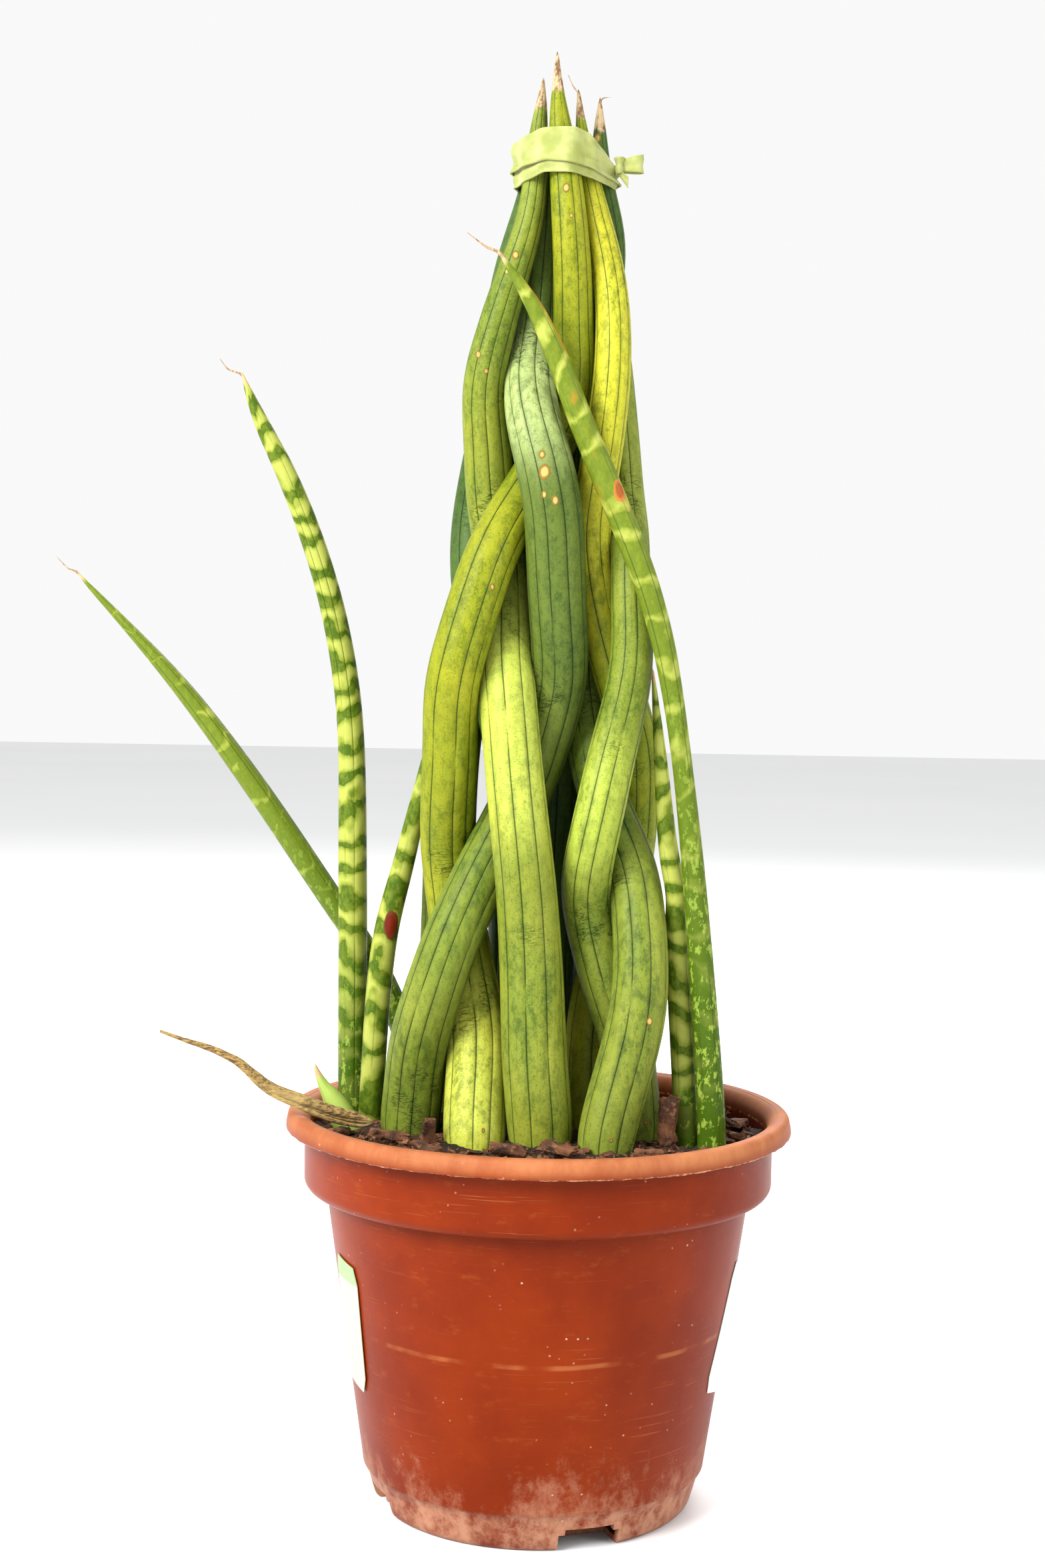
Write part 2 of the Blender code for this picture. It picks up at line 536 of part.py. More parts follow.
# ---------------------------------------------------------------- bark mulch
WOOD = material("bark_mulch", (0.11, 0.045, 0.020), 0.9)
rng = random.Random(7)
stems = [(p[0], p[1], p[3]) for leaf in LEAVES.values() for p in leaf if p[2] < SOIL_EDGE + MOUND + 0.025]
for n, (x, y, length, width, thick, turn, rise) in enumerate(BARK):
    wanted = Vector((x, y)) * (RIM_D / 190.0)
    length, width = length * (RIM_D / 0.190), width * (RIM_D / 0.190)
    flat_half = max(length * math.cos(math.radians(rise)), thick) / 2000.0 + 0.0008
    half = math.hypot(flat_half, width / 2000.0)
    # the free place nearest to the wanted one, looked for outwards in a spiral
    for step in range(90000):
        spot = wanted + Matrix.Rotation(2.39996 * step, 2) @ Vector((0.0004 * math.sqrt(step), 0.0))
        if spot.length + half > r_soil - 0.001:
            continue
        if all(math.hypot(spot.x - cx, spot.y - cy) > r + half + 0.0006 for cx, cy, r in stems):
            break
    stems.append((spot.x, spot.y, half))
    pose = (Matrix.Rotation(math.radians(turn), 4, "Z") @ Matrix.Rotation(math.radians(rise), 4, "Y"))

    def build_chip(bm, pose=pose, size=(length / 1000, width / 1000, thick / 1000)):
        bmesh.ops.create_cube(bm, size=1.0, matrix=Matrix.Diagonal((*size, 1.0)))
        for v in bm.verts:
            v.co *= 1.0 - rng.uniform(0.0, 0.16)
        bmesh.ops.bevel(bm, geom=bm.edges[:], offset=min(size) * 0.2, segments=1, affect="EDGES")
        bmesh.ops.transform(bm, matrix=pose, verts=bm.verts)
    chip = keep(mesh_object(f"bark_{n + 1:02d}", build_chip), WOOD)
    lowest = min(v.co.z for v in chip.data.vertices)
    crown = soil_top(max(spot.length - half, 0.0))
    chip.data.transform(Matrix.Translation((spot.x, spot.y, crown + GAP - lowest)))

bpy.context.view_layer.update()
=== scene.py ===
"""A potted cylindrical snake plant: thick leaves plaited round each other and tied with ribbon."""
import json
import random
from math import atan2, cos, exp, hypot, pi, radians, sin, sqrt, tau

import bmesh
import bpy
import numpy as np
from mathutils import Matrix, Vector, noise


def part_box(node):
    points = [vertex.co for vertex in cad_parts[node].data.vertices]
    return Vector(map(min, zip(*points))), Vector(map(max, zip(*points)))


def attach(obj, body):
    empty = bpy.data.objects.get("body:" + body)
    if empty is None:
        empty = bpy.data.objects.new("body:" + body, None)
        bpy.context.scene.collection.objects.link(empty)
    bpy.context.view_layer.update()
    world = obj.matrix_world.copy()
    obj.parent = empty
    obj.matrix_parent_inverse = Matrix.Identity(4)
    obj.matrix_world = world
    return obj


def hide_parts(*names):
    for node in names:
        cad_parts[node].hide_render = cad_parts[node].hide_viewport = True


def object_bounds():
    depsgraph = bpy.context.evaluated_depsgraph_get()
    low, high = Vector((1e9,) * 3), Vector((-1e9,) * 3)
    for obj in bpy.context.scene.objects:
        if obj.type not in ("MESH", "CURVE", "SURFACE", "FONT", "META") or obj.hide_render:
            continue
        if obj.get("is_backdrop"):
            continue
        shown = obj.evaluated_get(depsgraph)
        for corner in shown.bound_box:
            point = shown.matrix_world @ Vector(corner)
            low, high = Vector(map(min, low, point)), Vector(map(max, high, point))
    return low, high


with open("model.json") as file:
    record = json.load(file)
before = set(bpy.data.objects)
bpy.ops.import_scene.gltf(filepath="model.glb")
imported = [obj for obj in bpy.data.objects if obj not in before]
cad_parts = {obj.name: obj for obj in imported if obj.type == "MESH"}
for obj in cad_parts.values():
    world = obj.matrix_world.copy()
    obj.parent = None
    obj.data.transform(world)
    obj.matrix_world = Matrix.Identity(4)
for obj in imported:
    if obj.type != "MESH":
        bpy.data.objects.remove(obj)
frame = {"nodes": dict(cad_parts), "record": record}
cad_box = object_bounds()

# ---------- camera
# A full-frame camera on a tripod in front of the plant, level with the middle of the leaves,
# tipped a little down at the pot.
LENS_MM, SENSOR_MM = 52.94, 36.0
STAND = Vector((0.0, -0.862, 0.317))
TIP_DOWN, TURN, ROLL = radians(3.14), radians(-0.55), radians(0.98)

forward = Vector((sin(TURN) * cos(TIP_DOWN), cos(TURN) * cos(TIP_DOWN),
                  -sin(TIP_DOWN)))
level = Vector((cos(TURN), -sin(TURN), 0.0))
upright = level.cross(forward)
right = cos(ROLL) * level + sin(ROLL) * upright
up = -sin(ROLL) * level + cos(ROLL) * upright
camera = bpy.data.objects.new("camera", bpy.data.cameras.new("camera"))
camera.data.lens = LENS_MM
camera.data.sensor_width = SENSOR_MM
camera.data.clip_start = 0.02
camera.matrix_world = (Matrix.Translation(STAND)
                       @ Matrix((right, up, -forward)).transposed().to_4x4())
bpy.context.scene.collection.objects.link(camera)
bpy.context.scene.camera = camera


# ---------- white table and soft light
# A table covered in white cloth, with a white room round it. A large softbox at the left gives most
# of the light. A weaker one at the right and one behind fill it in.
class Wire:
    """One output socket of a finish. Sums and products of wires add Math nodes."""

    def __init__(self, finish, node, key=0):
        self.finish, self.node, self.socket = finish, node, node.outputs[key]

    def out(self, key):
        return Wire(self.finish, self.node, key)

    def math(self, operation, a, b=0.0):
        return self.finish.add("Math", {"operation": operation}, {0: a, 1: b})

    def __add__(self, other):
        return self.math("ADD", self, other)

    __radd__ = __add__

    def __sub__(self, other):
        return self.math("SUBTRACT", self, other)

    def __rsub__(self, other):
        return self.math("SUBTRACT", other, self)

    def __mul__(self, other):
        return self.math("MULTIPLY", self, other)

    __rmul__ = __mul__

    def __abs__(self):
        return self.math("ABSOLUTE", self)

    def fraction(self):
        return self.math("FRACT", self)

    def whole(self):
        return self.math("ROUND", self)

    def rise(self, low, high):
        """0 below low, 1 above high, smooth between."""
        return self.finish.add("MapRange", {"interpolation_type": "SMOOTHSTEP"},
                               {"Value": self, "From Min": low, "From Max": high})

    def fall(self, low, high):
        return 1.0 - self.rise(low, high)

    def at_most(self, limit):
        return self.math("MINIMUM", self, limit)


class Finish:
    """A Principled material. Even values are set on the shader, add() makes any other node."""

    def __init__(self, name, **even):
        self.material = bpy.data.materials.new(name)
        self.material.use_nodes = True
        self.nodes, self.links = self.material.node_tree.nodes, self.material.node_tree.links
        self.shader = self.nodes["Principled BSDF"]
        self.wear(**even)

    def add(self, kind, settings=None, inputs=None, out=0):
        node = self.nodes.new("ShaderNode" + kind)
        for key, value in (settings or {}).items():
            setattr(node, key, value)
        for key, value in (inputs or {}).items():
            self.feed(node.inputs[key], value)
        return Wire(self, node, out)

    def feed(self, socket, value):
        if isinstance(value, Wire):
            self.links.new(value.socket, socket)
        elif socket.type == "RGBA" and len(value) == 3:
            socket.default_value = (*value, 1.0)
        else:
            socket.default_value = value

    def wear(self, **channels):
        """Set or feed the shader's sockets, base_color and so on."""
        for key, value in channels.items():
            socket = key.replace("_", " ").title().replace("Ior", "IOR")
            self.feed(self.shader.inputs[socket], value)
        return self

    def mix(self, share, a, b):
        return self.add("Mix", {"data_type": "RGBA"}, {0: share, 6: a, 7: b}, out=2)

    def noise(self, place, scale, detail=2.0, rough=0.5, by=None, **more):
        """Noise at a place. by stretches the place first, one factor for each axis."""
        place = self.stretch(place, *by) if by else place
        return self.add("TexNoise", {}, {"Vector": place, "Scale": scale, "Detail": detail,
                                         "Roughness": rough, **more})

    def place(self):
        return self.add("TexCoord", {}, {}, out="Object")

    def height(self, place):
        return self.add("SeparateXYZ", {}, {0: place}, out=2)

    def stored(self, name):
        """A number kept on the piece's points."""
        return self.add("Attribute", {"attribute_name": name}, {}, out=2)

    def leaf_places(self):
        """Place on the piece, the leaf's own map, and its two ways: round the ribs and along."""
        uv = self.add("UVMap", {"uv_map": "leaf"})
        parts = self.add("SeparateXYZ", {}, {0: uv})
        return self.place(), uv, parts, parts.out(1)

    def gap(self, place, spot, squash):
        """Distance from one spot, with heights counted short, so marks come out tall."""
        return self.add("VectorMath", {"operation": "DISTANCE"},
                        {0: self.stretch(place, 1.0, 1.0, squash),
                         1: (spot[0], spot[1], spot[2] * squash)}, out=1)

    def stretch(self, place, x, y, z):
        return self.add("VectorMath", {"operation": "MULTIPLY"}, {0: place, 1: (x, y, z)})

    def bump(self, height, distance, strength=1.0, under=None):
        below = {} if under is None else {"Normal": under}
        return self.add("Bump", {}, {"Height": height, "Distance": distance, "Strength": strength,
                                     **below})


cloth = Finish("table_white", roughness=0.9)
# painted shade: the white cloth is darkened in broad soft patches that stand for the shade of its
# folds
cloth_fold_shade = cloth.noise(cloth.place(), 1.3, 2.0)
cloth.wear(base_color=cloth.mix(cloth_fold_shade, (0.74, 0.745, 0.755), (0.8, 0.8, 0.8)),
           normal=cloth.bump(cloth.noise(cloth.place(), 3.0, 1.0), 0.01, 0.3))
TABLE_SIZE, TABLE_DROP = 14.0, 0.0002
bpy.ops.mesh.primitive_plane_add(size=TABLE_SIZE, location=(0.0, 0.0, -TABLE_DROP))
table = bpy.context.object
table.name = "table"
table.data.materials.append(cloth.material)
table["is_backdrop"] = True

LIT_SPOT = Vector((0.0, 0.0, 0.25))
for name, where, size, power in (("softbox_left", (-1.3, -1.3, 1.5), 1.4, 105.0),
                                 ("softbox_right", (1.6, -1.0, 1.1), 1.2, 20.0),
                                 ("softbox_back", (0.2, 1.6, 1.7), 1.6, 45.0)):
    lamp = bpy.data.objects.new(name, bpy.data.lights.new(name, "AREA"))
    lamp.data.shape, lamp.data.size, lamp.data.energy = "DISK", size, power
    lamp.location = where
    lamp.rotation_euler = (LIT_SPOT - Vector(where)).to_track_quat("-Z", "Y").to_euler()
    bpy.context.scene.collection.objects.link(lamp)
room = bpy.data.worlds.new("white_room")
room.use_nodes = True
walls = room.node_tree.nodes["Background"].inputs
walls["Color"].default_value = (1.0, 1.0, 1.0, 1.0)
walls["Strength"].default_value = 0.95
bpy.context.scene.world = room
bpy.context.scene.view_settings.view_transform = "Standard"


# ---------- pot
# A nursery pot, injection moulded in terracotta-coloured plastic with a rolled lip, a straight
# collar, a tapered wall and a notched foot ring. It is faded and chalky along the lip and scuffed.
def piece(name, verts, faces, finish, smooth=True, uvs=None):
    """A mesh object from points and faces, with a map of the surface where uvs are given."""
    mesh = bpy.data.meshes.new(name)
    mesh.from_pydata([tuple(v) for v in verts], [], [tuple(f) for f in faces])
    mesh.update()
    obj = bpy.data.objects.new(name, mesh)
    mesh.materials.append(finish.material)
    mesh.polygons.foreach_set("use_smooth", [smooth] * len(mesh.polygons))
    if uvs:
        mesh.uv_layers.new(name="leaf").data.foreach_set("uv", [c for uv in uvs for c in uv])
    bpy.context.scene.collection.objects.link(obj)
    return obj


def taken(name, bm, finish=None):
    """An object from a bmesh, which is freed."""
    mesh = bpy.data.meshes.new(name)
    bm.to_mesh(mesh)
    bm.free()
    if finish:
        mesh.materials.append(finish.material)
    obj = bpy.data.objects.new(name, mesh)
    bpy.context.scene.collection.objects.link(obj)
    return obj


def stands_for(obj, slot, *nodes):
    """The piece takes the place of frame nodes and stays with the plant."""
    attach(obj, "root")
    if nodes:
        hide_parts(*nodes)
    return obj


def arc(centre, radius, start, end, steps):
    """Points on an arc of a profile, angles in degrees."""
    turns = [radians(start + (end - start) * i / steps) for i in range(steps + 1)]
    return [(centre[0] + radius * cos(a), centre[1] + radius * sin(a)) for a in turns]


pot_high = Vector(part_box("pot")[1])
LIP_R, POT_H = pot_high.x, pot_high.z
WALL, LIP_H, BAND_H, FOOT_R = 0.0022, 0.007, 0.0185, 0.0598
DRAIN_R = FOOT_R * 0.2
LIP_Z, BAND_Z = POT_H - LIP_H, POT_H - LIP_H - BAND_H
BAND_R = LIP_R - 0.0072
SEAM_R, SEAM_Z = FOOT_R + 0.0045, 0.0143
WALL_R, WALL_Z = BAND_R - 0.0086, BAND_Z - 0.0065
NOTCHES, NOTCH_W, NOTCH_H, NOTCH_TURN, NOTCH_IN = 4, 0.023, 0.0085, radians(20.0), 0.045
SCUFF_Z = 0.0715
POT_STEPS = 240

side = [(LIP_R - 0.0052, POT_H - 0.0002)] + arc((LIP_R - 0.0034, POT_H - 0.0026), 0.0026, 80, 12, 8)
side += [(LIP_R - 0.0003, POT_H - 0.0048), (LIP_R - 0.0002, LIP_Z + 0.0006)]
side += arc((LIP_R - 0.001, LIP_Z + 0.0008), 0.0008, -20, -160, 5)
side += [(LIP_R - 0.0026, POT_H - 0.003), (BAND_R + 0.001, POT_H - 0.003)]
side += arc((BAND_R + 0.001, POT_H - 0.004), 0.001, 90, 180, 4)
side += [(BAND_R, LIP_Z - BAND_H * t) for t in (0.3, 0.7, 1.0)]
side += arc((BAND_R - 0.0042, BAND_Z), 0.0042, -10, -62, 6)
side += arc((WALL_R + 0.004, WALL_Z + 0.0012), 0.004, 115, 182, 5)
side += [(WALL_R + (SEAM_R - WALL_R) * t, WALL_Z + (SEAM_Z - WALL_Z) * t)
         for t in np.linspace(0.06, 0.98, 14)]
side += [(SEAM_R + 0.0001, SEAM_Z + 0.0004), (SEAM_R - 0.0002, SEAM_Z - 0.0002),
         (SEAM_R - 0.001, SEAM_Z - 0.0008)]
side += [(SEAM_R - 0.001 + (FOOT_R - SEAM_R + 0.001) * t, SEAM_Z + (0.002 - SEAM_Z) * t)
         for t in (0.3, 0.6, 0.95)]
side += [(FOOT_R - 0.0006, 0.0012), (FOOT_R - 0.0018, 0.0001), (FOOT_R - 0.003, 0.0),
         (FOOT_R * 0.5, 0.0), (DRAIN_R, 0.0)]
side += [(DRAIN_R, WALL), (FOOT_R * 0.5, WALL), (FOOT_R - 0.0035, WALL)]
side += [(SEAM_R - WALL + (WALL_R - SEAM_R) * t, SEAM_Z + (WALL_Z - SEAM_Z) * t)
         for t in (0.0, 0.5, 0.98)]
side += [(BAND_R - WALL - 0.0012, BAND_Z + 0.001),
         (BAND_R - WALL, BAND_Z + 0.004), (BAND_R - WALL, POT_H - 0.0075)]
side += arc((BAND_R - WALL + 0.005, POT_H - 0.0052), 0.005, 172, 96, 8)


def turned(profile, steps, wobble):
    """Points and faces of a ring turned from a closed profile. wobble moves each point a little."""
    verts, faces, count = [], [], len(profile)
    for k in range(steps):
        a = tau * k / steps
        for r, z in profile:
            dr, dz = wobble(a, r, z)
            verts.append(((r + dr) * sin(a), -(r + dr) * cos(a), z + dz))
    for k in range(steps):
        for i in range(count):
            a, b = k * count, ((k + 1) % steps) * count
            j = (i + 1) % count
            faces.append((a + i, b + i, b + j, a + j))
    return verts, faces


def ripple(x, y, z):
    """Smooth unevenness at a point, from -1 to 1."""
    return noise.noise(Vector((x, y, z)))


def pot_wobble(a, r, z):
    """Moulded plastic isn't true: the lip waves a little and its lower edge is ragged."""
    if z < 0.004:
        return 0.0, 0.0
    wave = 0.00035 * ripple(sin(a) * 2, cos(a) * 2, z * 8)
    ragged = 0.0
    if r > BAND_R + 0.004 and z < LIP_Z + 0.0012:
        ragged = 0.00045 * ripple(sin(a) * 60, cos(a) * 60, 3.0)
    sway = 0.0004 * ripple(sin(a), cos(a), 7.0) if z > 0.12 else 0.0
    return wave, ragged + sway


plastic = Finish("terracotta_plastic", specular_ior_level=0.08)
spot = plastic.place()
height = plastic.height(spot)
cloudy = plastic.noise(spot, 22.0, 5.0, 0.6)
bloom = plastic.noise(spot, 38.0, 6.0, 0.7, by=(1.0, 1.0, 0.45))
grain = plastic.noise(spot, 520.0, 3.0, 0.7)
body = plastic.mix(cloudy.rise(0.3, 0.75), (0.132, 0.0118, 0.0003), (0.19, 0.0205, 0.0006))
# painted shade: the wall darkens towards the foot
body = plastic.mix(height.rise(0.1, 0.0) * 0.25, body, (0.1, 0.011, 0.0004))
# weather bleaches the lip, paler towards its top partly as a painted highlight, and leaves lime in
# blotches near the foot
lip_bleach_and_highlight = height.rise(LIP_Z - 0.0015, POT_H - 0.002) * (0.45 + 0.5 * bloom.rise(0.35, 0.7))
body = plastic.mix(lip_bleach_and_highlight, body, (0.4, 0.15, 0.06))
# the mould left a pale ragged burr under the lip
burr = abs(height - LIP_Z).fall(0.0002, 0.0007) * grain.rise(0.42, 0.6)
body = plastic.mix(burr * 0.6, body, (0.62, 0.36, 0.2))
chalk = plastic.noise(spot, 150.0, 5.0, 0.75, by=(1.0, 1.0, 0.8))
lime = (0.6 * bloom + 0.4 * chalk + 0.22 * height.fall(0.002, 0.05)).rise(0.6, 0.8)
lime = lime * height.fall(0.028, 0.086) * 0.5
lime = lime + height.fall(SEAM_Z - 0.0012, SEAM_Z + 0.0008) * 0.3 * chalk.rise(0.3, 0.6)
dust = plastic.noise(spot, 85.0, 4.0, 0.75, by=(1.0, 1.0, 2.6)).rise(0.56, 0.78) * 0.22
body = plastic.mix(lime, body, (0.4, 0.205, 0.125))
body = plastic.mix(dust, body, (0.32, 0.085, 0.016))
# fine scratches run round the wall and a scuffed ring where pots were stacked
scratch = plastic.noise(spot, 6.0, 3.0, 0.6, by=(5.0, 5.0, 260.0))
ring = abs(height - SCUFF_Z + 0.002 * cloudy).fall(0.0004, 0.0013)
ring = ring * plastic.noise(spot, 60.0, 2.0).rise(0.42, 0.6)
scuff = scratch.rise(0.62, 0.72) * 0.3 * plastic.noise(spot, 14.0, 2.0).rise(0.4, 0.6)
body = plastic.mix(scuff + ring * 0.35, body, (0.42, 0.15, 0.05))
specks = plastic.add("TexVoronoi", {}, {"Vector": spot, "Scale": 240.0}, out=0).fall(0.05, 0.13)
specks = specks * plastic.noise(spot, 40.0, 2.0).rise(0.5, 0.65)
body = plastic.mix(specks * 0.55, body, (0.6, 0.42, 0.3))
relief = plastic.bump(scratch, 0.00012, 0.35, plastic.bump(cloudy, 0.0006, 0.3))
plastic.wear(base_color=body,
             roughness=0.26 + 0.22 * bloom + 0.25 * lip_bleach_and_highlight + 0.2 * lime,
             normal=plastic.bump(grain, 0.00008, 0.5, relief))

pot = piece("pot_shell", *turned(side, POT_STEPS, pot_wobble), plastic)
bm = bmesh.new()
bm.from_mesh(pot.data)
for z, up_side in ((0.0, False), (WALL, True)):
    rim = [v for v in bm.verts if abs(v.co.z - z) < 1e-5 and abs(v.co.xy.length - DRAIN_R) < 1e-5]
    rim.sort(key=lambda v: atan2(v.co.y, v.co.x))
    bm.faces.new(rim if up_side else rim[::-1])
inner_wall = [f for f in bm.faces
              if len(f.verts) == 4 and all(abs(v.co.xy.length - DRAIN_R) < 1e-5 for v in f.verts)]
bmesh.ops.delete(bm, geom=inner_wall, context="FACES_ONLY")
bmesh.ops.recalc_face_normals(bm, faces=bm.faces)
bm.to_mesh(pot.data)
bm.free()


def cut_away(obj, cutters):
    """Cut solids out of a piece for good and clear them away."""
    for cutter in cutters:
        cut = obj.modifiers.new("cut", "BOOLEAN")
        cut.solver, cut.object = "EXACT", cutter
    bpy.context.view_layer.update()
    depsgraph = bpy.context.evaluated_depsgraph_get()
    solid = bpy.data.meshes.new_from_object(obj.evaluated_get(depsgraph))
    obj.modifiers.clear()
    obj.data = solid
    for cutter in cutters:
        bpy.data.objects.remove(cutter, do_unlink=True)


channels = []
for i in range(NOTCHES):
    turn = Matrix.Rotation(NOTCH_TURN + tau * i / NOTCHES, 4, "Z")
    bm = bmesh.new()
    reach = SEAM_R + 0.01
    shift = Matrix.Translation((0, -(NOTCH_IN + reach) / 2, NOTCH_H / 2 - 0.0025))
    scale = Matrix.Diagonal((NOTCH_W, reach - NOTCH_IN, NOTCH_H + 0.005, 1.0))
    bmesh.ops.create_cube(bm, size=1.0, matrix=turn @ shift @ scale)
    crown = [e for e in bm.edges if all((v.co.z > 0) for v in e.verts)]
    bmesh.ops.bevel(bm, geom=crown, offset=0.0022, segments=4, affect="EDGES")
    channels.append(taken("channel", bm))
cut_away(pot, channels)
pot.data.polygons.foreach_set("use_smooth", [True] * len(pot.data.polygons))
pot.data.set_sharp_from_angle(angle=radians(40))
stands_for(pot, "pot_terracotta_plastic", "pot")


# ---------- plaited leaves
# Twelve thick round leaves, waxy and firm, each with a few grooves along it that show as dark
# green lines. They were plaited while young and have grown bent, creased inside the bends.
def smoothed(rows, reach):
    """Rows of numbers eased along their length, ends kept."""
    rows = np.array(rows)
    for _ in range(reach):
        rows[1:-1] = (rows[:-2] + 2 * rows[1:-1] + rows[2:]) / 4
    return rows


def centre_line(node, sides, axis=2, steps=110, ease=10):
    """Middle and radius of a closed tube of the frame, at stations along an axis, base first."""
    mesh = frame["nodes"][node].data
    co = np.array([v.co for v in mesh.vertices])
    ends = co[np.array([e.vertices[:] for e in mesh.edges])]
    low, high = co[:, axis].min(), co[:, axis].max()
    across = [k for k in range(3) if k != axis]
    rows = []
    for level in np.linspace(low + 0.0004, high - 0.0002, steps):
        crossing = ends[(ends[:, 0, axis] < level) != (ends[:, 1, axis] < level)]
        share = (level - crossing[:, 0, axis]) / (crossing[:, 1, axis] - crossing[:, 0, axis])
        points = crossing[:, 0] + (crossing[:, 1] - crossing[:, 0]) * share[:, None]
        flat = points[:, across]
        turn = np.argsort(np.arctan2(*(flat - flat.mean(axis=0)).T))
        x, y = flat[turn].T
        cross = x * np.roll(y, -1) - np.roll(x, -1) * y
        area = cross.sum() / 2
        row = np.empty(4)
        row[across[0]] = ((x + np.roll(x, -1)) * cross).sum() / (6 * area)
        row[across[1]] = ((y + np.roll(y, -1)) * cross).sum() / (6 * area)
        row[axis], row[3] = level, abs(area)
        rows.append(row)
    rows = np.array(rows)
    lean = np.gradient(rows[:, :3], axis=0)
    lean = np.abs(lean[:, axis]) / np.linalg.norm(lean, axis=1)
    rows[:, 3] = np.sqrt(rows[:, 3] * lean / (sides / 2 * sin(tau / sides)))
    return smoothed(rows, ease)


def evenly(rows, step):
    """The same line with its stations a fixed step apart along it."""
    run = np.concatenate([[0.0], np.cumsum(np.linalg.norm(np.diff(rows[:, :3], axis=0), axis=1))])
    at = np.linspace(0.0, run[-1], max(int(run[-1] / step), 8))
    return np.column_stack([np.interp(at, run, rows[:, k]) for k in range(4)]), at


def carried_frames(line):
    """Two directions across the line at each station, carried along without twist."""
    along = np.gradient(line[:, :3], axis=0)
    along /= np.linalg.norm(along, axis=1)[:, None]
    side_on = np.cross((0.0, 1.0, 0.0), along[0])
    side_on /= np.linalg.norm(side_on)
    sides, backs = [], []
    for t in along:
        side_on = side_on - t * side_on.dot(t)
        side_on /= np.linalg.norm(side_on)
        sides.append(side_on)
        backs.append(np.cross(t, side_on))
    return along, np.array(sides), np.array(backs)


LINES = {}
slots = {part["node"]: part["material_slot"] for part in frame["record"]["subparts"]}
RIB_AT = (0.0, 0.06, 0.18, 0.38, 0.62, 0.82, 0.94)  # columns across a rib, closer at its grooves


def grow_leaf(node, ribs, groove, seed, finish, step=0.0018, twist=0.0, tip=0.004):
    """A ribbed leaf round the frame's line, with grooves, slight swellings and a pointed end."""
    line, run = evenly(LINES[node], step)
    along, sides_on, backs = carried_frames(line)
    bend = smoothed(np.gradient(along, run, axis=0), 4)
    rng = random.Random(seed)
    widths = np.array([rng.uniform(0.7, 1.35) for _ in range(ribs)])
    starts = np.concatenate([[0.0], np.cumsum(widths / widths.sum())])
    depths = [rng.uniform(0.35, 1.0) for _ in range(ribs)]
    phase = rng.uniform(0, 50)
    columns = [(k, f) for k in range(ribs) for f in RIB_AT]
    length = run[-1]
    verts, folds, tips = [], [], []
    for i, (x, y, z, r) in enumerate(line):
        centre = Vector((x, y, z))
        turn = twist * run[i] / length
        for k, f in columns:
            spin = starts[k] + (starts[k + 1] - starts[k]) * f
            a = tau * spin + turn + pi / 2
            near, g = (f, k) if f < 0.5 else (1 - f, (k + 1) % ribs)
            fade = 0.55 + 0.45 * ripple(g * 3.1 + phase, run[i] * 18, 0.0)
            dent = groove * depths[g] * fade * exp(-near / 0.085)
            swell = 0.016 * ripple(cos(a) * 1.3, sin(a) * 1.3 + phase, run[i] * 26)
            out = Vector(sides_on[i] * cos(a) + backs[i] * sin(a))
            inward = max(0.0, out.dot(Vector(bend[i]))) * r
            crease = inward * 0.1 * ripple(spin * 3 + phase, run[i] * 330, 1.0)
            bulge = 0.012 * sin(pi * f)
            verts.append(centre + out * (r * (1.0 - dent + swell + bulge - crease)))
            folds.append(min(1.0, inward * 3.2))
            tips.append(length - run[i])
    wide, seams = len(columns), [k + f for k, f in columns] + [float(ribs)]
    faces, uvs = [], []
    for i in range(len(line) - 1):
        for j in range(wide):
            n = (j + 1) % wide
            faces.append((i * wide + j, i * wide + n, (i + 1) * wide + n, (i + 1) * wide + j))
            u0, u1 = seams[j:j + 2]
            uvs += [(u0, run[i]), (u1, run[i]), (u1, run[i + 1]), (u0, run[i + 1])]
    top = len(verts)
    end, lead = Vector(line[-1][:3]), Vector(along[-1])
    verts += [end + lead * tip * line[-1][3] / 0.0006 * 0.5, Vector(line[0][:3])]
    folds += [0.0, 0.0]
    tips += [0.0, length]
    for j in range(wide):
        n = (j + 1) % wide
        u0, u1 = seams[j:j + 2]
        faces += [((len(line) - 1) * wide + j, (len(line) - 1) * wide + n, top), (n, j, top + 1)]
        mid = (u0 + u1) / 2
        uvs += [(u0, length), (u1, length), (mid, length), (u1, 0.0), (u0, 0.0), (mid, 0.0)]
    leaf = piece(node.replace("leaf_", "grown_").replace("shoot_young", "grown_shoot"),
                 verts, faces, finish, uvs=uvs)
    for key, values in (("crease", folds), ("from_tip", tips)):
        leaf.data.attributes.new(key, "FLOAT", "POINT").data.foreach_set("value", values)
    return stands_for(leaf, slots[node], node)


def dimmed(colour, *shares):
    return tuple(c * share for c, share in zip(colour, shares))


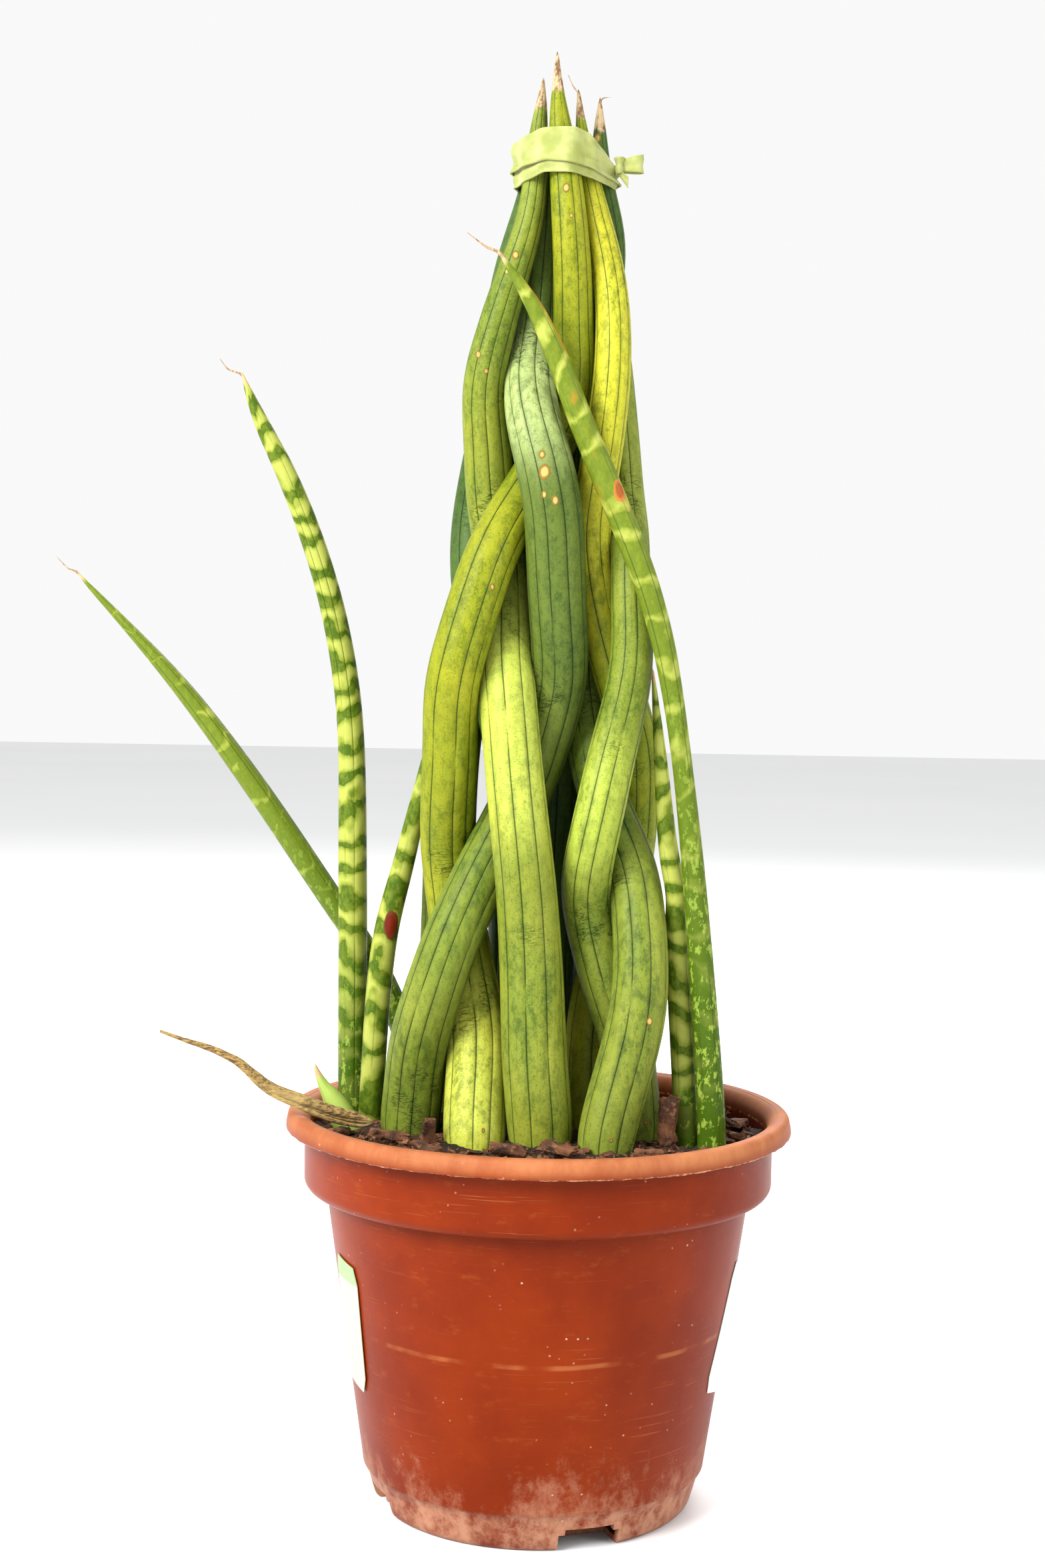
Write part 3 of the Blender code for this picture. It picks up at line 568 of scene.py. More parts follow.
def leaf_skin(name, pale, green, deep, patchy, withered, marks, warm, low, glow):
    """Waxy skin: mottled green, dark groove lines, creases, corky marks, a dry tip; painted shade
    by grooves and in creases.
    """
    skin = Finish(name, specular_ior_level=0.12)
    spot, uv, around, along = skin.leaf_places()
    flat = skin.stretch(uv, 1.0, 130.0, 1.0)
    speck = skin.noise(spot, 1300.0, 3.0, 0.7)
    mottle = skin.noise(spot, 330.0, 4.0, 0.72, by=(1.0, 1.0, 0.6))
    fibre = skin.noise(uv, 1.0, 3.0, 0.6, by=(9.0, 60.0, 1.0))
    blotch = skin.noise(spot, 62.0, 4.0, 0.6, by=(1.0, 1.0, 0.35))
    wide = skin.noise(spot, 19.0, 2.0, 0.5, by=(1.0, 1.0, 0.45))
    wander = around + 0.05 * (skin.noise(flat, 0.35, 2.0) - 0.5)
    rib = wander.fraction()
    near = 0.5 - abs(rib - 0.5)
    which = skin.add("CombineXYZ", {}, {0: wander.whole() * 7.3, 1: along * 26.0})
    kept = skin.noise(which, 1.0, 3.0, 0.6)
    line = near.fall(0.008, 0.042) * kept.rise(0.26, 0.44)
    # painted shade: a broad darker band beside each groove
    groove_shade = near.fall(0.0, 0.3) * kept.rise(0.36, 0.62)
    hair = abs(rib - 0.5).fall(0.008, 0.026) * skin.noise(which, 1.7, 2.0).rise(0.56, 0.64)
    tone = (wide.rise(0.36, 0.66) * 0.55 + blotch.rise(0.42, 0.68) * patchy)
    colour = skin.mix(tone, pale, green)
    level = skin.height(spot)
    if low:
        colour = skin.mix(level.fall(0.235, 0.33), colour, skin.mix(tone, *low))
    # a paler stretch by height, partly the skin's own colour and partly painted light
    if glow:
        bottom, top, tint = glow
        share = level.rise(bottom, bottom + GLOW_EDGE) * level.fall(top - GLOW_EDGE, top)
        colour = skin.mix(share * (0.35 + 0.9 * wide), colour, tint)
    if warm:
        colour = skin.mix(skin.noise(spot, 26.0, 2.0).rise(0.42, 0.7) * warm, colour,
                          (0.4, 0.36, 0.02))
    colour = skin.mix(mottle.rise(0.42, 0.64) * (0.26 + 0.36 * blotch.rise(0.4, 0.68)),
                      colour, deep)
    # painted shade laid beside the grooves
    colour = skin.mix(groove_shade * (0.26 + 0.3 * wide), colour, deep)
    colour = skin.mix(speck.rise(0.54, 0.68) * 0.62, colour, pale)
    colour = skin.mix(speck.fall(0.34, 0.45) * 0.45, colour, deep)
    colour = skin.mix(fibre.rise(0.55, 0.72) * 0.16, colour, deep)
    crease = skin.stored("crease")
    folds = skin.noise(uv, 1.0, 3.0, 0.55, Distortion=0.6, by=(1.1, 520.0, 1.0))
    fold = abs(folds - 0.5).fall(0.006, 0.03) * crease.rise(0.16, 0.42)
    fold = fold * skin.noise(spot, 150.0, 2.0).rise(0.4, 0.58)
    colour = skin.mix(line * 0.86 + hair * 0.45, colour, dimmed(deep, 0.45, 0.5, 0.5))
    # painted shade: the crease lines inside the bends are darkened
    colour = skin.mix(fold * 0.62, colour, dimmed(deep, 0.4, 0.5, 0.6))
    # small corky scars at random
    cells = skin.add("TexVoronoi", {}, {"Vector": skin.stretch(uv, 0.42, 52.0, 1.0), "Scale": 1.0})
    chosen = skin.add("SeparateXYZ", {}, {0: cells.out("Color")})
    ragged = cells + 0.05 * (mottle - 0.5)
    scar = ragged.fall(0.035, 0.055) * chosen.rise(0.8, 0.81)
    scar_heart = ragged.fall(0.012, 0.03) * chosen.rise(0.8, 0.81)
    for *where, size in marks:
        ragged_gap = skin.gap(spot, where, 0.72) + 0.001 * (mottle - 0.5)
        scar = scar + ragged_gap.fall(size * 0.85, size)
        scar_heart = scar_heart + ragged_gap.fall(size * 0.45, size * 0.7)
    scar, scar_heart = scar.at_most(1.0), scar_heart.at_most(1.0)
    colour = skin.mix(scar, colour, (0.17, 0.105, 0.018))
    colour = skin.mix(scar_heart, colour, (0.4, 0.29, 0.085))
    dry = 0.0
    if withered:
        reach = skin.stored("from_tip") + 0.006 * (mottle - 0.5)
        dry = reach.fall(withered * 0.8, withered)
        husk = skin.mix(mottle.rise(0.4, 0.6), (0.42, 0.32, 0.18), (0.14, 0.07, 0.03))
        colour = skin.mix(dry, colour, husk)
    relief = 0.25 * speck + 0.2 * mottle + 0.35 * fibre - 0.8 * line - 1.3 * fold
    relief = relief + 0.5 * scar - 0.4 * scar_heart
    skin.wear(base_color=colour, roughness=0.4 + 0.16 * mottle + 0.25 * scar + 0.35 * dry,
              normal=skin.bump(relief, 0.00028, 0.9))
    return skin


for node in (f"leaf_plait_{strand}{number}" for strand in "abcd" for number in "123"):
    LINES[node] = centre_line(node, 8)


def on_front(node, *spots):
    """Places on the front of a leaf, from (across, height, radius) in mm."""
    found = []
    for x, z, size in spots:
        line = LINES[node]
        cx, cy, r = (float(np.interp(z / 1000, line[:, 2], line[:, k])) for k in (0, 1, 3))
        off = max(-0.95 * r, min(0.95 * r, x / 1000 - cx))
        found.append((cx + off, cy - sqrt(r * r - off * off), z / 1000, size / 1000))
    return found


# pale, middle and deep green of each kind of leaf
LIME = (0.228, 0.242, 0.01), (0.11, 0.15, 0.005), (0.026, 0.06, 0.002)
BLUE = (0.1, 0.138, 0.02), (0.048, 0.084, 0.011), (0.015, 0.038, 0.006)
FRONT = (0.205, 0.236, 0.028), (0.092, 0.14, 0.012), (0.023, 0.056, 0.005)
DARK = (0.06, 0.108, 0.018), (0.034, 0.07, 0.012), (0.012, 0.032, 0.007)

PLAIT = (
    # node, ribs, seed, twist, colours, patchiness, warmth, withered tip, corky marks
    ("leaf_plait_a1", 9, 11, 0.5, FRONT, 0.45, 0.25, 0.011,
     ((-14, 463, 1.3), (-27, 427, 1.2), (-24, 421, 0.9), (-17, 457, 0.8))),
    ("leaf_plait_a2", 9, 12, -0.5, BLUE, 0.6, 0.0, 0.0,
     ((-3, 389, 1.5), (-2, 383, 2.3), (-2, 375, 1.1), (2, 373, 1.4))),
    ("leaf_plait_a3", 9, 13, 0.4, LIME, 0.4, 0.35, 0.014,
     ((4, 486, 1.4), (6, 476, 0.8), (-20, 342, 1.0))),
    ("leaf_plait_b1", 8, 14, -0.4, LIME, 0.35, 0.8, 0.01, ()),
    ("leaf_plait_b2", 8, 15, 0.5, FRONT, 0.55, 0.0, 0.0, ()),
    ("leaf_plait_b3", 9, 16, -0.5, (BLUE[0], FRONT[1], BLUE[2]), 0.55, 0.0, 0.0, ((39, 188, 1.2),)),
    ("leaf_plait_c1", 9, 17, 0.4, DARK, 0.5, 0.0, 0.0, ()),
    ("leaf_plait_c2", 9, 18, 0.3, BLUE, 0.6, 0.0, 0.0, ()),
    ("leaf_plait_c3", 8, 19, -0.3, DARK, 0.5, 0.0, 0.0, ()),
    ("leaf_plait_d1", 8, 20, 0.5, DARK, 0.5, 0.0, 0.012, ((15, 508, 1.6),)),
    ("leaf_plait_d2", 8, 21, -0.4, BLUE, 0.6, 0.0, 0.0, ()),
    ("leaf_plait_d3", 8, 22, 0.3, (DARK[0], BLUE[1], DARK[2]), 0.6, 0.0, 0.0, ()),
)
# stretches where a leaf is paler, partly its own paler skin and partly painted light from the
# front: lowest and highest height, and colour
PALE_AND_LIT = {
    "leaf_plait_a1": (0.24, 0.345, (0.42, 0.48, 0.07)),
    "leaf_plait_a2": (0.375, 0.45, (0.33, 0.4, 0.14)),
    "leaf_plait_a3": (0.12, 0.215, (0.48, 0.52, 0.08)),
    "leaf_plait_b1": (0.33, 0.5, (0.48, 0.46, 0.03)),
    "leaf_plait_b2": (0.225, 0.3, (0.33, 0.4, 0.05)),
}
GLOW_EDGE, GROOVE = 0.03, 0.085
for node, ribs, seed, twist, colours, patchy, warm, withered, marks in PLAIT:
    skin = leaf_skin(node.replace("leaf_", "skin_"), *colours, patchy=patchy, warm=warm,
                     withered=withered, marks=on_front(node, *marks), glow=PALE_AND_LIT.get(node),
                     low=FRONT[:2] if colours[0] == BLUE[0] else None)
    grow_leaf(node, ribs, GROOVE, seed, skin, twist=twist)


# ---------- young leaves
# Thin upright leaves left out of the plait: cream and pale green, banded across in dark green,
# with a thread of dried tissue at the tip.
def banded_skin(name, pale, green, deep, spacing, cover, marks=(), orange=0.0, speckled=0.0,
                bold=1.0):
    """Young skin: dark bands with ragged speckled edges over a pale ground."""
    skin = Finish(name, specular_ior_level=0.1)
    spot, uv, around, along = skin.leaf_places()
    speck = skin.noise(spot, 1100.0, 3.0, 0.7)
    mottle = skin.noise(spot, 420.0, 4.0, 0.7, by=(1.0, 1.0, 0.55))
    drift = skin.noise(uv, 1.0, 2.0, by=(0.3, 46.0, 1.0))
    uneven = skin.noise(uv, 1.0, 3.0, by=(0.55, 75.0, 1.0))
    wave = abs((along * (1.0 / spacing) + drift * 2.2).fraction() - 0.5) * 2.0
    wave = wave + 1.5 * (uneven - 0.5) + 0.55 * (mottle - 0.5)
    band = wave.fall(cover - 0.05, cover + 0.05)
    soft = wave.fall(cover - 0.05, cover + 0.45)
    near = 0.5 - abs(around.fraction() - 0.5)
    strands = skin.add("CombineXYZ", {}, {0: around.whole() * 5.1, 1: along * 20.0})
    line = near.fall(0.015, 0.075) * skin.noise(strands, 1.0, 2.0).rise(0.42, 0.58)
    colour = skin.mix(soft * 0.8, pale, green)
    colour = skin.mix(band * (0.42 + 0.5 * mottle.rise(0.36, 0.6)) * bold, colour, deep)
    if speckled:
        low = along.fall(0.015, speckled)
        colour = skin.mix(low * 0.85, colour, deep)
        colour = skin.mix(low * mottle.rise(0.53, 0.6) * 0.75, colour, (0.27, 0.36, 0.05))
    colour = skin.mix(speck.rise(0.62, 0.74) * 0.22, colour, pale)
    colour = skin.mix(line * 0.6, colour, dimmed(deep, 0.6, 0.6, 0.6))
    reach = skin.stored("from_tip")
    if orange:
        stain = skin.noise(uv, 1.0, 2.0, by=(0.5, 45.0, 1.0)).rise(0.56, 0.68)
        colour = skin.mix(stain * reach.fall(0.05, orange) * 0.7, colour, (0.4, 0.17, 0.02))
    heart = 0.0
    for *where, size, tint in marks:
        ragged = skin.gap(spot, where, 0.5) + 0.0008 * (mottle - 0.5)
        heart = ragged.fall(size * 0.5, size * 0.78)
        colour = skin.mix(ragged.fall(size * 0.9, size), colour, tint)
        colour = skin.mix(heart, colour, (tint[0] * 0.45 + 0.1, tint[1] * 0.5, tint[2] * 0.6))
    dry = (reach + 0.004 * (mottle - 0.5)).fall(0.003, 0.006)
    colour = skin.mix(dry, colour, (0.44, 0.31, 0.15))
    skin.wear(base_color=colour, roughness=0.36 + 0.14 * mottle + 0.3 * dry,
              normal=skin.bump(0.3 * speck + 0.3 * mottle - 0.7 * line - 1.2 * heart, 0.0002, 0.6))
    return skin


CREAM, YOUNG_GREEN, YOUNG_DEEP = (0.305, 0.335, 0.06), (0.12, 0.165, 0.006), (0.026, 0.068, 0.001)
for node in ("leaf_young_right", "leaf_young_slim", "leaf_young_left", "leaf_young_inner",
             "leaf_young_leaning", "shoot_young"):
    LINES[node] = centre_line(node, 8, ease=8)


def tube_faces(base, rings, wide):
    """Faces of a closed tube whose points lie ring after ring, from point base on."""
    faces = [(base + i * wide + k, base + i * wide + (k + 1) % wide,
              base + (i + 1) * wide + (k + 1) % wide, base + (i + 1) * wide + k)
             for i in range(rings - 1) for k in range(wide)]
    return faces + [tuple(base + k for k in range(wide - 1, -1, -1)),
                    tuple(base + (rings - 1) * wide + k for k in range(wide))]


THREAD_RINGS, THREAD_SIDES = 22, 7


def thread(name, points, radius, finish):
    """A dried thread at a leaf's tip: a thin tapering tube through a few points, in mm."""
    line = np.array([(x / 1000, y / 1000, z / 1000, 0.0) for x, y, z in points])
    at = np.linspace(0, len(line) - 1, THREAD_RINGS)
    line = np.column_stack([np.interp(at, range(len(line)), line[:, k]) for k in range(4)])
    line = smoothed(line, 3)
    _, sides_on, backs = carried_frames(line)
    verts = []
    for i, row in enumerate(line):
        lumpy = 1.0 + 0.25 * ripple(i * 0.9, radius * 900, 0)
        r = radius * (1.0 - 0.85 * i / (THREAD_RINGS - 1)) * lumpy
        for k in range(THREAD_SIDES):
            a = tau * k / THREAD_SIDES
            out = Vector(sides_on[i] * cos(a) + backs[i] * sin(a))
            verts.append(Vector(row[:3]) + out * r)
    return piece(name, verts, tube_faces(0, THREAD_RINGS, THREAD_SIDES), finish)


young_marks = {node: [(*where, tint) for where in on_front(node, mark)] for node, mark, tint in (
    ("leaf_young_right", (25, 377, 2.6), (0.36, 0.14, 0.025)),
    ("leaf_young_inner", (-57, 215, 3.0), (0.12, 0.03, 0.01)))}
YOUNG_GROOVE = 0.05
for node, ribs, seed, spacing, cover, orange, speckled, bold in (
        ("leaf_young_right", 7, 31, 0.016, 0.62, 0.13, 0.26, 0.5),
        ("leaf_young_slim", 6, 32, 0.0115, 0.36, 0.0, 0.05, 0.95),
        ("leaf_young_left", 7, 33, 0.0115, 0.38, 0.0, 0.1, 0.95),
        ("leaf_young_inner", 6, 34, 0.016, 0.42, 0.0, 0.0, 0.95),
        ("leaf_young_leaning", 7, 35, 0.014, 0.86, 0.0, 0.2, 0.5)):
    skin = banded_skin(node.replace("leaf_", "skin_"), CREAM, YOUNG_GREEN, YOUNG_DEEP, spacing,
                       cover, young_marks.get(node, ()), orange, speckled, bold)
    grow_leaf(node, ribs, YOUNG_GROOVE, seed, skin, step=0.0016)
shoot_skin = banded_skin("skin_shoot", (0.3, 0.4, 0.08), (0.19, 0.3, 0.035), (0.09, 0.18, 0.015),
                         0.05, -0.3)
grow_leaf("shoot_young", 5, YOUNG_GROOVE, 36, shoot_skin, step=0.001)

dried = Finish("dried_tissue", roughness=0.85)
dried_grain = dried.noise(dried.place(), 900.0, 4.0, 0.7, by=(1.0, 1.0, 0.4))
dried_tint = dried.mix(dried_grain.rise(0.35, 0.65), (0.42, 0.29, 0.14), (0.16, 0.08, 0.03))
dried.wear(base_color=dried_tint, normal=dried.bump(dried_grain, 0.0002, 0.6))
for name, node, bits, radius in (
        ("thread_right", "leaf_young_right", ((-24, -29, 463), (-31, -30, 468)), 0.0009),
        ("thread_left", "leaf_young_left", ((-124, 26, 425), (-127, 26, 429)), 0.0006),
        ("thread_leaning", "leaf_young_leaning", ((-190, 51, 349), (-195, 52, 354)), 0.0006),
        ("thread_plait_b", "leaf_plait_b1", ((6, -9, 525), (4, -10, 529)), 0.0005),
        ("thread_plait_d", "leaf_plait_d1", ((17, -1, 523), (20, -2, 523)), 0.0005)):
    tip_at = LINES[node][-1][:3] * 1000
    below = LINES[node][-3][:3] * 1000
    stands_for(thread(name, (tuple(below), tuple(tip_at), *bits), radius, dried), "dried_leaf")


# ---------- soil
# Dark potting mix heaped a little to the middle, full of small pieces of bark and fibre. It was
# filled in loose round the leaves and has settled below the rim.
soil_high = Vector(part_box("soil")[1])
MOUND, SKIRT = 0.0045, 0.01
SOIL_R, SOIL_EDGE = soil_high.x, soil_high.z - MOUND
earth = Finish("potting_mix", specular_ior_level=0.25)
crumb = earth.noise(earth.place(), 420.0, 5.0, 0.7)
lump = earth.noise(earth.place(), 90.0, 3.0, 0.6)
ground = earth.mix(lump.rise(0.35, 0.65), (0.01, 0.006, 0.003), (0.04, 0.02, 0.01))
ground = earth.mix(crumb.rise(0.58, 0.7) * 0.7, ground, (0.11, 0.055, 0.026))
earth.wear(base_color=ground, roughness=0.75 + 0.2 * crumb, normal=earth.bump(crumb, 0.0008, 0.9))


def soil_height(x, y):
    """Top of the loose soil at a place."""
    t = min(hypot(x, y) / SOIL_R, 1.0)
    rough = (0.0022 * ripple(x * 70, y * 70, 0.3)
             + 0.0014 * ripple(x * 240, y * 240, 2.0)
             + 0.0006 * ripple(x * 700, y * 700, 5.0))
    return SOIL_EDGE + MOUND * (1 - t * t) + rough


rings, spokes = 60, 200
verts, faces = [(0.0, 0.0, soil_height(0.0, 0.0))], []
for i in range(1, rings + 1):
    r = (SOIL_R + 0.0002) * (i / rings) ** 0.85
    for k in range(spokes):
        x, y = r * cos(tau * k / spokes), r * sin(tau * k / spokes)
        verts.append((x, y, soil_height(x, y)))
foot = len(verts)
under_r = SOIL_R - 0.001
verts += [(under_r * cos(tau * k / spokes), under_r * sin(tau * k / spokes),
           SOIL_EDGE - SKIRT) for k in range(spokes)]
verts.append((0.0, 0.0, SOIL_EDGE - SKIRT))
for k in range(spokes):
    n = (k + 1) % spokes
    faces.append((0, 1 + k, 1 + n))
    faces += [(a + k, a + spokes + k, a + spokes + n, a + n)
              for a in range(1, 1 + (rings - 1) * spokes, spokes)]
    last = 1 + (rings - 1) * spokes
    faces += [(last + k, foot + k, foot + n, last + n), (foot + k, len(verts) - 1, foot + n)]
stands_for(piece("soil_loose", verts, faces, earth), "soil_potting_mix", "soil")


# ---------- bark mulch
# Chips of pine bark on the soil, dark red-brown and fibrous, some standing on edge, and
# hundreds of crumbs between them.
bark = Finish("pine_bark", specular_ior_level=0.3)
streak = bark.noise(bark.place(), 500.0, 5.0, 0.75)
layer_tone = bark.noise(bark.place(), 120.0, 3.0, 0.6)
wood = bark.mix(layer_tone.rise(0.35, 0.65), (0.034, 0.013, 0.006), (0.15, 0.055, 0.022))
wood = bark.mix(streak.rise(0.52, 0.66) * 0.6, wood, (0.26, 0.13, 0.055))
bark.wear(base_color=wood, roughness=0.82, normal=bark.bump(streak, 0.0005, 0.9))


def finer(node, cuts):
    """A copy of a node's mesh with its edges cut up."""
    bm = bmesh.new()
    bm.from_mesh(frame["nodes"][node].data)
    bmesh.ops.remove_doubles(bm, verts=bm.verts, dist=1e-6)
    bmesh.ops.subdivide_edges(bm, edges=bm.edges[:], cuts=cuts, use_grid_fill=True)
    return bm


for number, node in enumerate(sorted(n for n in frame["nodes"] if n.startswith("bark_"))):
    bm = finer(node, 3)
    middle = sum((v.co for v in bm.verts), Vector()) / len(bm.verts)
    spread = [v.co - middle for v in bm.verts]
    grain_way = max(spread, key=lambda d: d.length).normalized()
    for v in bm.verts:
        off = v.co - middle
        lengthwise = off.dot(grain_way)
        across = off - grain_way * lengthwise
        split = noise.noise(across * 900 + Vector((number * 3.7, 0, 0)))
        fray = noise.noise(v.co * 330)
        v.co = (middle + grain_way * lengthwise * (0.96 + 0.22 * split)
                + across * (0.86 + 0.42 * fray))
    stands_for(taken("chip_" + node[5:], bm, bark), "bark_mulch", node)

# loose crumbs, kept clear of the leaves
STEM_REACH, CRUMBS = 0.012, 2600
stems = [(row[0], row[1], row[3]) for line in LINES.values()
         for row in line[line[:, 2] < SOIL_EDGE + STEM_REACH]]
rng = random.Random(41)
verts, faces = [], []
CRUMB = [(-1, -1, -1), (1, -1, -1), (1, 1, -1), (-1, 1, -1),
         (-1, -1, 1), (1, -1, 1), (1, 1, 1), (-1, 1, 1)]
CRUMB_FACES = [(0, 3, 2, 1), (4, 5, 6, 7), (0, 1, 5, 4), (1, 2, 6, 5), (2, 3, 7, 6), (3, 0, 4, 7)]
placed = 0
while placed < CRUMBS:
    r, a = (SOIL_R - 0.003) * sqrt(rng.random()), rng.uniform(0, tau)
    x, y = r * cos(a), r * sin(a)
    if any(hypot(x - sx, y - sy) < sr + 0.0008 for sx, sy, sr in stems):
        continue
    long = rng.uniform(0.001, 0.0062) * (0.55 if rng.random() < 0.65 else 1.0)
    size = Vector((long, long * rng.uniform(0.25, 0.6), long * rng.uniform(0.12, 0.4))) / 2
    pose = (Matrix.Translation((x, y, soil_height(x, y) + size.z * 0.6))
            @ Matrix.Rotation(rng.uniform(0, tau), 4, "Z")
            @ Matrix.Rotation(rng.gauss(0, 0.4), 4, "Y")
            @ Matrix.Rotation(rng.gauss(0, 0.4), 4, "X"))
    base = len(verts)
    verts += [pose @ Vector([c * s * rng.uniform(0.6, 1.0) for c, s in zip(corner, size)])
              for corner in CRUMB]
    faces += [tuple(base + i for i in f) for f in CRUMB_FACES]
    placed += 1
stands_for(piece("bark_crumbs", verts, faces, bark, smooth=False), "bark_mulch")


# ---------- ribbon tie
# A soft green woven ribbon wrapped once and a half round the bundle, its lower edge hemmed and
# folded under, pulled through itself into a knot at the right.
ribbon = Finish("green_ribbon", sheen_weight=0.12, sheen_roughness=0.5, specular_ior_level=0.12)
uv = ribbon.add("UVMap", {"uv_map": "leaf"})
weave_uv = ribbon.stretch(uv, 2600.0, 2600.0, 1.0)
warp, weft = (ribbon.add("TexWave", {"bands_direction": way},
                         {"Vector": weave_uv, "Scale": 0.35, "Distortion": 0.4}) for way in "XY")
weave = warp * 0.5 + weft * 0.5
rumple_and_highlight = ribbon.noise(ribbon.place(), 130.0, 3.0)
threads = ribbon.mix(weave, (0.205, 0.24, 0.054), (0.29, 0.315, 0.082))
# painted highlight: the palest colour lies in soft blotches where the ribbon's rumples catch the
# light; the same blotches give its soft relief
ribbon.wear(base_color=ribbon.mix(rumple_and_highlight.rise(0.35, 0.7), threads, (0.37, 0.385, 0.14)),
            roughness=0.72,
            normal=ribbon.bump(weave, 0.0001, 0.6, ribbon.bump(rumple_and_highlight, 0.0006, 0.4)))

tie_co = np.array([v.co for v in frame["nodes"]["tie_ribbon"].data.vertices])
tie_top = tie_co[:, 2].max()
tie_mid = (tie_co[:, :2].min(axis=0) + tie_co[:, :2].max(axis=0)) / 2
inner_rim = tie_co[np.abs(tie_co[:, 2] - tie_top) < 1e-4][:, :2] - tie_mid
TIE_STEPS = 220
turns = np.linspace(-pi, pi, TIE_STEPS, endpoint=False)
rim_turns, rim_reach = np.arctan2(inner_rim[:, 1], inner_rim[:, 0]), np.hypot(*inner_rim.T)
hug = []
for a in turns:
    gap = np.abs((rim_turns - a + pi) % tau - pi)
    near_by = rim_reach[gap < 0.16]
    hug.append(near_by.min() if len(near_by) else rim_reach[gap.argmin()])
hug = np.array(hug)
for _ in range(14):
    hug = (np.roll(hug, 1) + 2 * hug + np.roll(hug, -1)) / 4


def strip(name, path, thick, *nodes, closed=False, pleats=0.0, seed=0.0, rows=16):
    """A strip of ribbon with soft folds, along (x, y, low z, high z, outward x, outward y)."""
    count = len(path)
    verts, faces, uvs = [], [], []
    run = np.concatenate([[0.0], np.cumsum(np.linalg.norm(np.diff(path[:, :2], axis=0), axis=1))])
    for face_side in (0.0, 1.0):
        for i in range(rows + 1):
            t = i / rows
            for k, (x, y, low, high, ox, oy) in enumerate(path):
                squeeze = 1.0 - min(1.0, (high - low) / 0.014)
                wander = 2.2 * ripple(run[k] * 60, seed, 0)
                fold = pleats * (0.35 + squeeze) * sin(t * 9.5 + seed + wander)
                fold += 0.4 * pleats * ripple(run[k] * 140, t * 3.0, seed)
                hem = 0.00022 if (t < 0.1 or t > 0.93) else 0.0
                off = fold + face_side * (thick + hem)
                verts.append((x + ox * off, y + oy * off, low + (high - low) * t + 0.3 * fold))
    sheet = (rows + 1) * count
    for i in range(rows):
        for k in range(count if closed else count - 1):
            n = (k + 1) % count
            a, b, c, d = i * count + k, i * count + n, (i + 1) * count + n, (i + 1) * count + k
            faces += [(a + sheet, b + sheet, c + sheet, d + sheet), (d, c, b, a)]
            u0, u1, v0, v1 = run[k], run[k] + 0.0007, i * 0.0009, (i + 1) * 0.0009
            uvs += [(u0, v0), (u1, v0), (u1, v1), (u0, v1), (u0, v1), (u1, v1), (u1, v0), (u0, v0)]
    top = rows * count
    for k in range(count if closed else count - 1):
        n = (k + 1) % count
        faces += [(k, n, n + sheet, k + sheet),
                  (top + n, top + k, top + k + sheet, top + n + sheet)]
        uvs += [(0, 0), (0.0007, 0), (0.0007, 0.0005), (0, 0.0005)] * 2
    if not closed:
        for i in range(rows):
            a, b = i * count, (i + 1) * count
            c, d = a + count - 1, b + count - 1
            faces += [(a, a + sheet, b + sheet, b), (d, d + sheet, c + sheet, c)]
            uvs += [(0, 0), (0.0005, 0), (0.0005, 0.0009), (0, 0.0009)] * 2
    return stands_for(piece(name, verts, faces, ribbon, uvs=uvs), "tie_green_ribbon", *nodes)


def wrap(stand_off, low_edge, high_edge):
    """The path of a strip right round the bundle. Edges are (across, drop from the top) in mm."""
    rows = []
    for a, r in zip(turns, hug):
        x, y = (r + stand_off) * cos(a), (r + stand_off) * sin(a)
        low = tie_top - np.interp(x * 1000, *zip(*low_edge)) / 1000
        high = tie_top - np.interp(x * 1000, *zip(*high_edge)) / 1000
        rows.append((tie_mid[0] + x, tie_mid[1] + y, low, high, cos(a), sin(a)))
    return np.array(rows)


wide_path = wrap(0.001, ((-18, 13.4), (-7, 11.8), (8, 14.0), (17, 17.0)),
                 ((-18, 2.4), (-9, 0.2), (3, 0.0), (8, 1.6), (13, 6.0), (17, 10.4)))
narrow_path = wrap(0.0002, ((-18, 18.6), (-8, 15.8), (4, 16.2), (17, 18.4)),
                   ((-18, 11.0), (-7, 9.0), (8, 10.0), (17, 13.0)))
wide = strip("ribbon_wide_turn", wide_path, 0.0005, "tie_ribbon", closed=True, pleats=0.00085,
             seed=1.0)
narrow = strip("ribbon_narrow_turn", narrow_path, 0.0005, closed=True, pleats=0.0004, seed=4.0)

# the knot at the right: a short loop of the ribbon held by a tight turn, and a cut end beside it
knot_low, knot_high = (Vector(c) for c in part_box("tie_knot"))
knot_mid = (knot_low + knot_high) / 2
loop = []
for k in range(44):
    a = tau * k / 44
    reach = 0.5 * (1 - cos(a))
    x = knot_low.x - 0.0006 + 0.0092 * reach
    y = knot_mid.y + 0.0024 * sin(a) * (0.35 + 0.65 * reach)
    half = 0.0022 + 0.0016 * reach
    lean = 0.0012 * reach
    loop.append((x, y, knot_mid.z - half + lean, knot_mid.z + half * 0.8 + lean,
                 -cos(a), sin(a)))
knot_loop = strip("ribbon_loop", np.array(loop), 0.0004, "tie_knot", closed=True,
                  pleats=0.00018, seed=7.0, rows=10)
pinch = [(knot_low.x + 0.0002 + 0.0011 * cos(a), knot_mid.y + 0.0029 * sin(a),
          knot_mid.z - 0.0031, knot_mid.z + 0.0026, cos(a), sin(a))
         for a in (tau * k / 30 for k in range(30))]
knot_pinch = strip("ribbon_pinch", np.array(pinch), 0.0005, closed=True, pleats=0.0003,
                   seed=11.0, rows=10)
